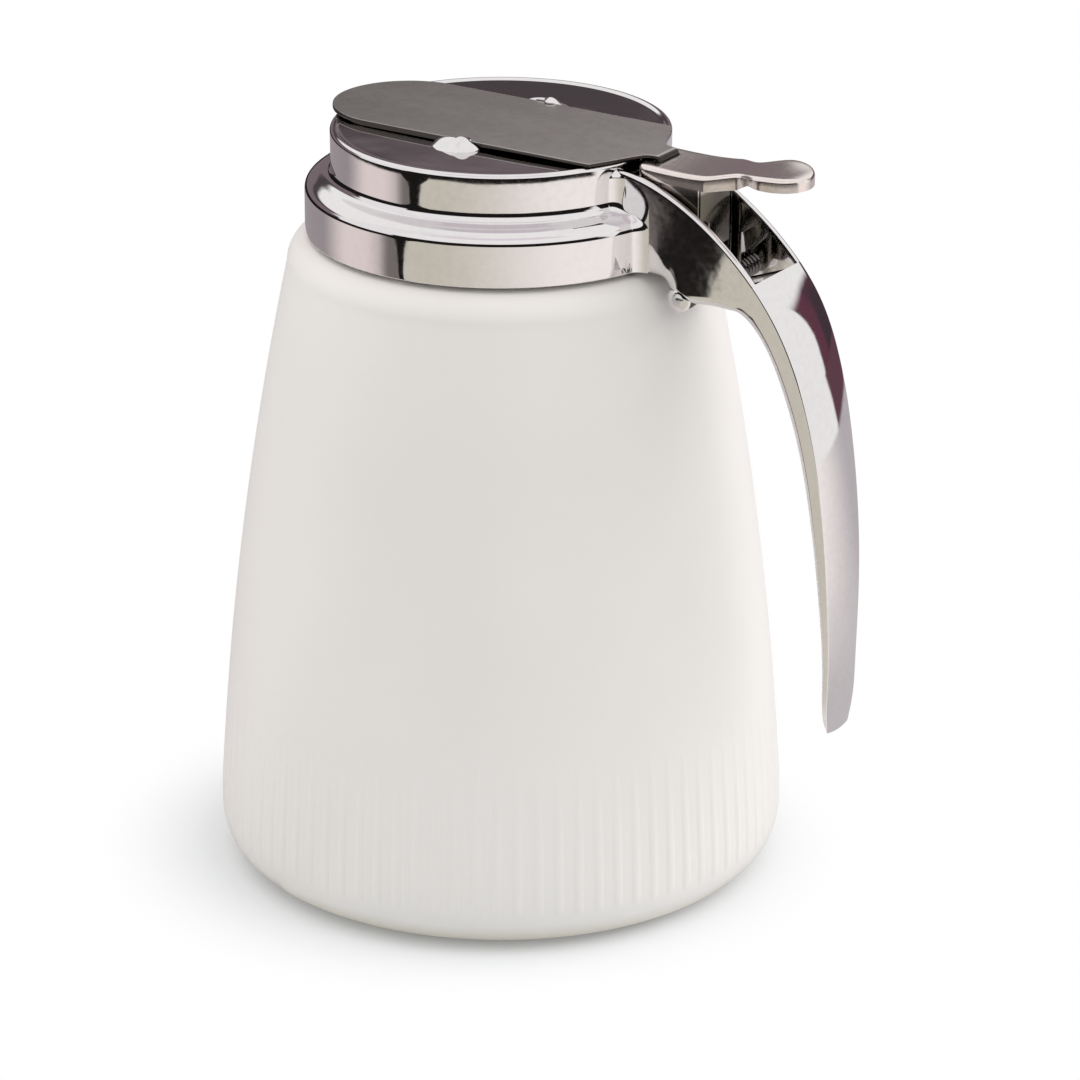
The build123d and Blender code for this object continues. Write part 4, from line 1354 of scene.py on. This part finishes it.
# %% [markdown]
# ## The studio
# Chrome is a picture of the room around it. The room here is a light tent: a pale table that
# reaches about sixty centimetres, a dark gap at the horizon, white above with a mauve ceiling, a
# dark room behind, and a bright panel on each side. Only mirror rays see it. The camera sees plain
# white, and soft surfaces are lit mostly from the sides.

# %% Helpers for the studio
class RoomGraph(Graph):
    """A node tree that paints by direction and mixes what each kind of ray sees."""

    def both(self, first, second):
        return self.math("MULTIPLY", first, second)

    def window(self, value, low, high, soft_low, soft_high):
        """1 between low and high, falling to 0 over the soft widths outside."""
        rise = self.map(value, low - soft_low, low, 0.0, 1.0, "SMOOTHSTEP")
        return self.both(rise, self.map(value, high, high + soft_high, 1.0, 0.0, "SMOOTHSTEP"))

    def bearing(self, vector):
        """A vector's bearing in degrees. 0 is towards the camera, and positive is to the right."""
        x, y, _ = self.split(vector)
        across = self.math("ADD", self.both(x, cos(AZIMUTH)), self.both(y, sin(AZIMUTH)))
        ahead = self.math("SUBTRACT", self.both(x, sin(AZIMUTH)), self.both(y, cos(AZIMUTH)))
        return self.both(self.math("ARCTAN2", across, ahead), 180 / pi)

    def length(self, vector):
        return self.node("ShaderNodeVectorMath", (vector,), operation="LENGTH").outputs["Value"]

    def shader(self, kind, colour):
        return self.node("ShaderNode" + kind, {"Color": colour}).outputs[0]

    def either(self, share, first, second):
        """The first shader where the share is 0, and the second where it is 1."""
        return self.node("ShaderNodeMixShader", (share, first, second)).outputs[0]


print("studio calls:", [name for name in vars(RoomGraph) if not name.startswith("_")])

# %% The room seen in the chrome
WHITE, NIGHT, PAPER_WHITE = (1.0, 0.99, 0.985), (0.012, 0.010, 0.010), (1, 1, 1)
world = bpy.data.worlds.new("studio")
bpy.context.scene.world = world
world.use_nodes = True
graph = RoomGraph(world.node_tree)
graph.tree.nodes.clear()
window, mix, both = graph.window, graph.mix, graph.both
direction = graph.node("ShaderNodeTexCoord").outputs["Generated"]
bearing = graph.bearing(direction)
elevation = both(graph.math("ARCSINE", graph.split(direction)["Z"]), 180 / pi)
room = mix(window(elevation, -90, 4, 1, 4), WHITE, NIGHT)
ceiling = both(window(elevation, 56, 70, 8, 6), window(bearing, -60, 50, 10, 10))
room = mix(ceiling, room, (0.84, 0.785, 0.825))
behind_right, behind_left = window(bearing, 115, 200, 2, 1), window(bearing, -200, -118, 1, 14)
behind = graph.math("MAXIMUM", behind_right, behind_left)
dark_room = mix(window(elevation, 17.5, 90, 2.5, 1), (0.20, 0.16, 0.175), (0.075, 0.062, 0.066))
curtain = mix(window(bearing, 116, 121, 3, 3), (0.06, 0.04, 0.05), (0.13, 0.045, 0.07))
dark_room = mix(window(bearing, 112, 138, 1, 14), dark_room, curtain)
room = mix(both(behind, window(elevation, -90, 20.5, 1, 3.5)), room, dark_room)
left_panel = both(window(bearing, -104, -66, 4, 3), window(elevation, -14, 90, 1, 1))
room = mix(left_panel, room, (0.95, 0.93, 0.94))
right_panel = both(window(bearing, 60, 113, 5, 2), window(elevation, -30, 90, 1, 1))
room = mix(right_panel, room, WHITE)
print("room nodes:", len(graph.tree.nodes))

# %% The soft light, and white for the camera
in_front = both(window(bearing, -28, 12, 70, 68), window(elevation, -90, 60, 1, 30))
at_the_back = window(graph.math("ABSOLUTE", bearing), 165, 200, 40, 1)
sides = mix(at_the_back, (1.56, 1.485, 1.455), (0.62, 0.60, 0.60))
soft_light = graph.shader("Background", mix(in_front, sides, (0.53, 0.518, 0.50)))
seen = graph.node("ShaderNodeLightPath").outputs
mirror_ray = graph.math("MAXIMUM", seen["Is Glossy Ray"], seen["Is Transmission Ray"])
surroundings = graph.either(mirror_ray, soft_light, graph.shader("Background", room))
white = graph.shader("Background", PAPER_WHITE)
surroundings = graph.either(seen["Is Camera Ray"], surroundings, white)
graph.node("ShaderNodeOutputWorld", {"Surface": surroundings})
print("world nodes:", len(graph.tree.nodes))

# %% [markdown]
# The table is white to the camera apart from the object's shadow. In the chrome it is a warm
# beige in front, mauve grey on the left, and a black strip lies between the two.

# %% What the chrome sees of the table
TABLE_REACH, STRIP_BEARING, STRIP_SPREAD = 0.60, -58.0, 9.0


def table_pattern(graph, place):
    """The table's colour in a mirror, by bearing and distance from the object."""
    window, mix, both = graph.window, graph.mix, graph.both
    bearing, distance = graph.bearing(place), graph.length(place)
    warm = mix(window(bearing, 48, 200, 90, 1), (0.66, 0.63, 0.545), (1.05, 1.0, 0.97))
    warm = mix(window(bearing, 118, 200, 36, 1), warm, (0.545, 0.51, 0.535))
    shaded = window(distance, -1, 0.15, 1, 0.15)
    warm = mix(both(window(bearing, 60, 200, 20, 1), shaded), warm, (0.62, 0.59, 0.60))
    grey = mix(window(bearing, -97, -85, 28, 25), (0.36, 0.32, 0.335), (0.84, 0.745, 0.725))
    grey = mix(window(bearing, -65, -50, 9, 1), grey, (0.20, 0.18, 0.17))
    grey = mix(shaded, grey, (0.36, 0.30, 0.31))
    pattern = mix(window(bearing, -200, STRIP_BEARING - 0.2, 1, 0.5), warm, grey)
    spread = both(window(distance, TABLE_REACH, 99, 0.17, 1), STRIP_SPREAD)
    from_strip = graph.math("ABSOLUTE", graph.math("ADD", bearing, -STRIP_BEARING))
    inside_strip = graph.math("SUBTRACT", from_strip, spread)
    pattern = mix(window(inside_strip, -99, 1.2, 1, 0.6), pattern, NIGHT)
    beyond = window(distance, TABLE_REACH, 99, 0.03, 1)
    pattern = mix(both(beyond, window(bearing, -200, 60, 1, 6)), pattern, NIGHT)
    far_right = both(window(distance, 0.80, 99, 0.10, 1), window(bearing, 64, 200, 6, 1))
    right_wall = mix(window(bearing, 113, 200, 2, 1), WHITE, (0.13, 0.06, 0.08))
    return mix(far_right, pattern, right_wall)


print("table reach in the mirror:", TABLE_REACH)

# %% The table
TABLE_HALF_SIZE, TABLE_DROP = 4000, 0.02
SHADOW_SHIFT, SHADOW_REACH, SHADOW_FADE, LEAST_PAPER = (0.005, 0.0033, 0), 0.082, 0.036, 0.18


def table_finish():
    """Paper and the object's shadow to the camera, a pattern in mirrors, and plain to the rest."""
    material = bpy.data.materials.new("pale_table")
    material.use_nodes = True
    graph = RoomGraph(material.node_tree)
    graph.tree.nodes.clear()
    place = graph.node("ShaderNodeTexCoord").outputs["Object"]
    from_shadow = graph.length(graph.node("ShaderNodeVectorMath", (place, SHADOW_SHIFT)).outputs[0])
    lit = graph.window(from_shadow, SHADOW_REACH, 99, SHADOW_FADE, 1)
    plain = graph.shader("BsdfDiffuse", (0.745, 0.775, 0.795))
    paper = graph.shader("Emission", PAPER_WHITE)
    seen = graph.node("ShaderNodeLightPath").outputs
    shown = graph.either(graph.math("MAXIMUM", lit, LEAST_PAPER), plain, paper)
    shown = graph.either(seen["Is Camera Ray"], plain, shown)
    mirrored = graph.shader("Emission", table_pattern(graph, place))
    shown = graph.either(seen["Is Glossy Ray"], shown, mirrored)
    graph.node("ShaderNodeOutputMaterial", {"Surface": shown})
    return material


corners = []
for x, y in ((-1, -1), (1, -1), (1, 1), (-1, 1)):
    corners.append((x * TABLE_HALF_SIZE, y * TABLE_HALF_SIZE, -TABLE_DROP))
table = piece_from("table", corners, [(0, 1, 2, 3)])
table.data.materials.append(table_finish())
print("table finish:", table.data.materials[0].name)


# %% The lamps
def soft_lamp(name, bearing, elevation, distance, size, power):
    """A large soft lamp that points at the object. Chrome doesn't show it; the room does that."""
    data = bpy.data.lights.new(name, "AREA")
    data.shape = "DISK"
    data.size = size
    data.energy = power
    towards = bearing_to(AZIMUTH + radians(bearing), radians(elevation))
    lamp = facing_object(name, data, towards, distance)
    lamp.visible_glossy = False
    return lamp


key = soft_lamp("key_lamp", 106, 32, 1.4, 0.9, 4.2)
fill = soft_lamp("fill_lamp", -20, 82, 1.5, 1.6, 4.8)
print("lamps:", key.name, fill.name)

# %% The colour view
bpy.context.scene.view_settings.view_transform = "Standard"
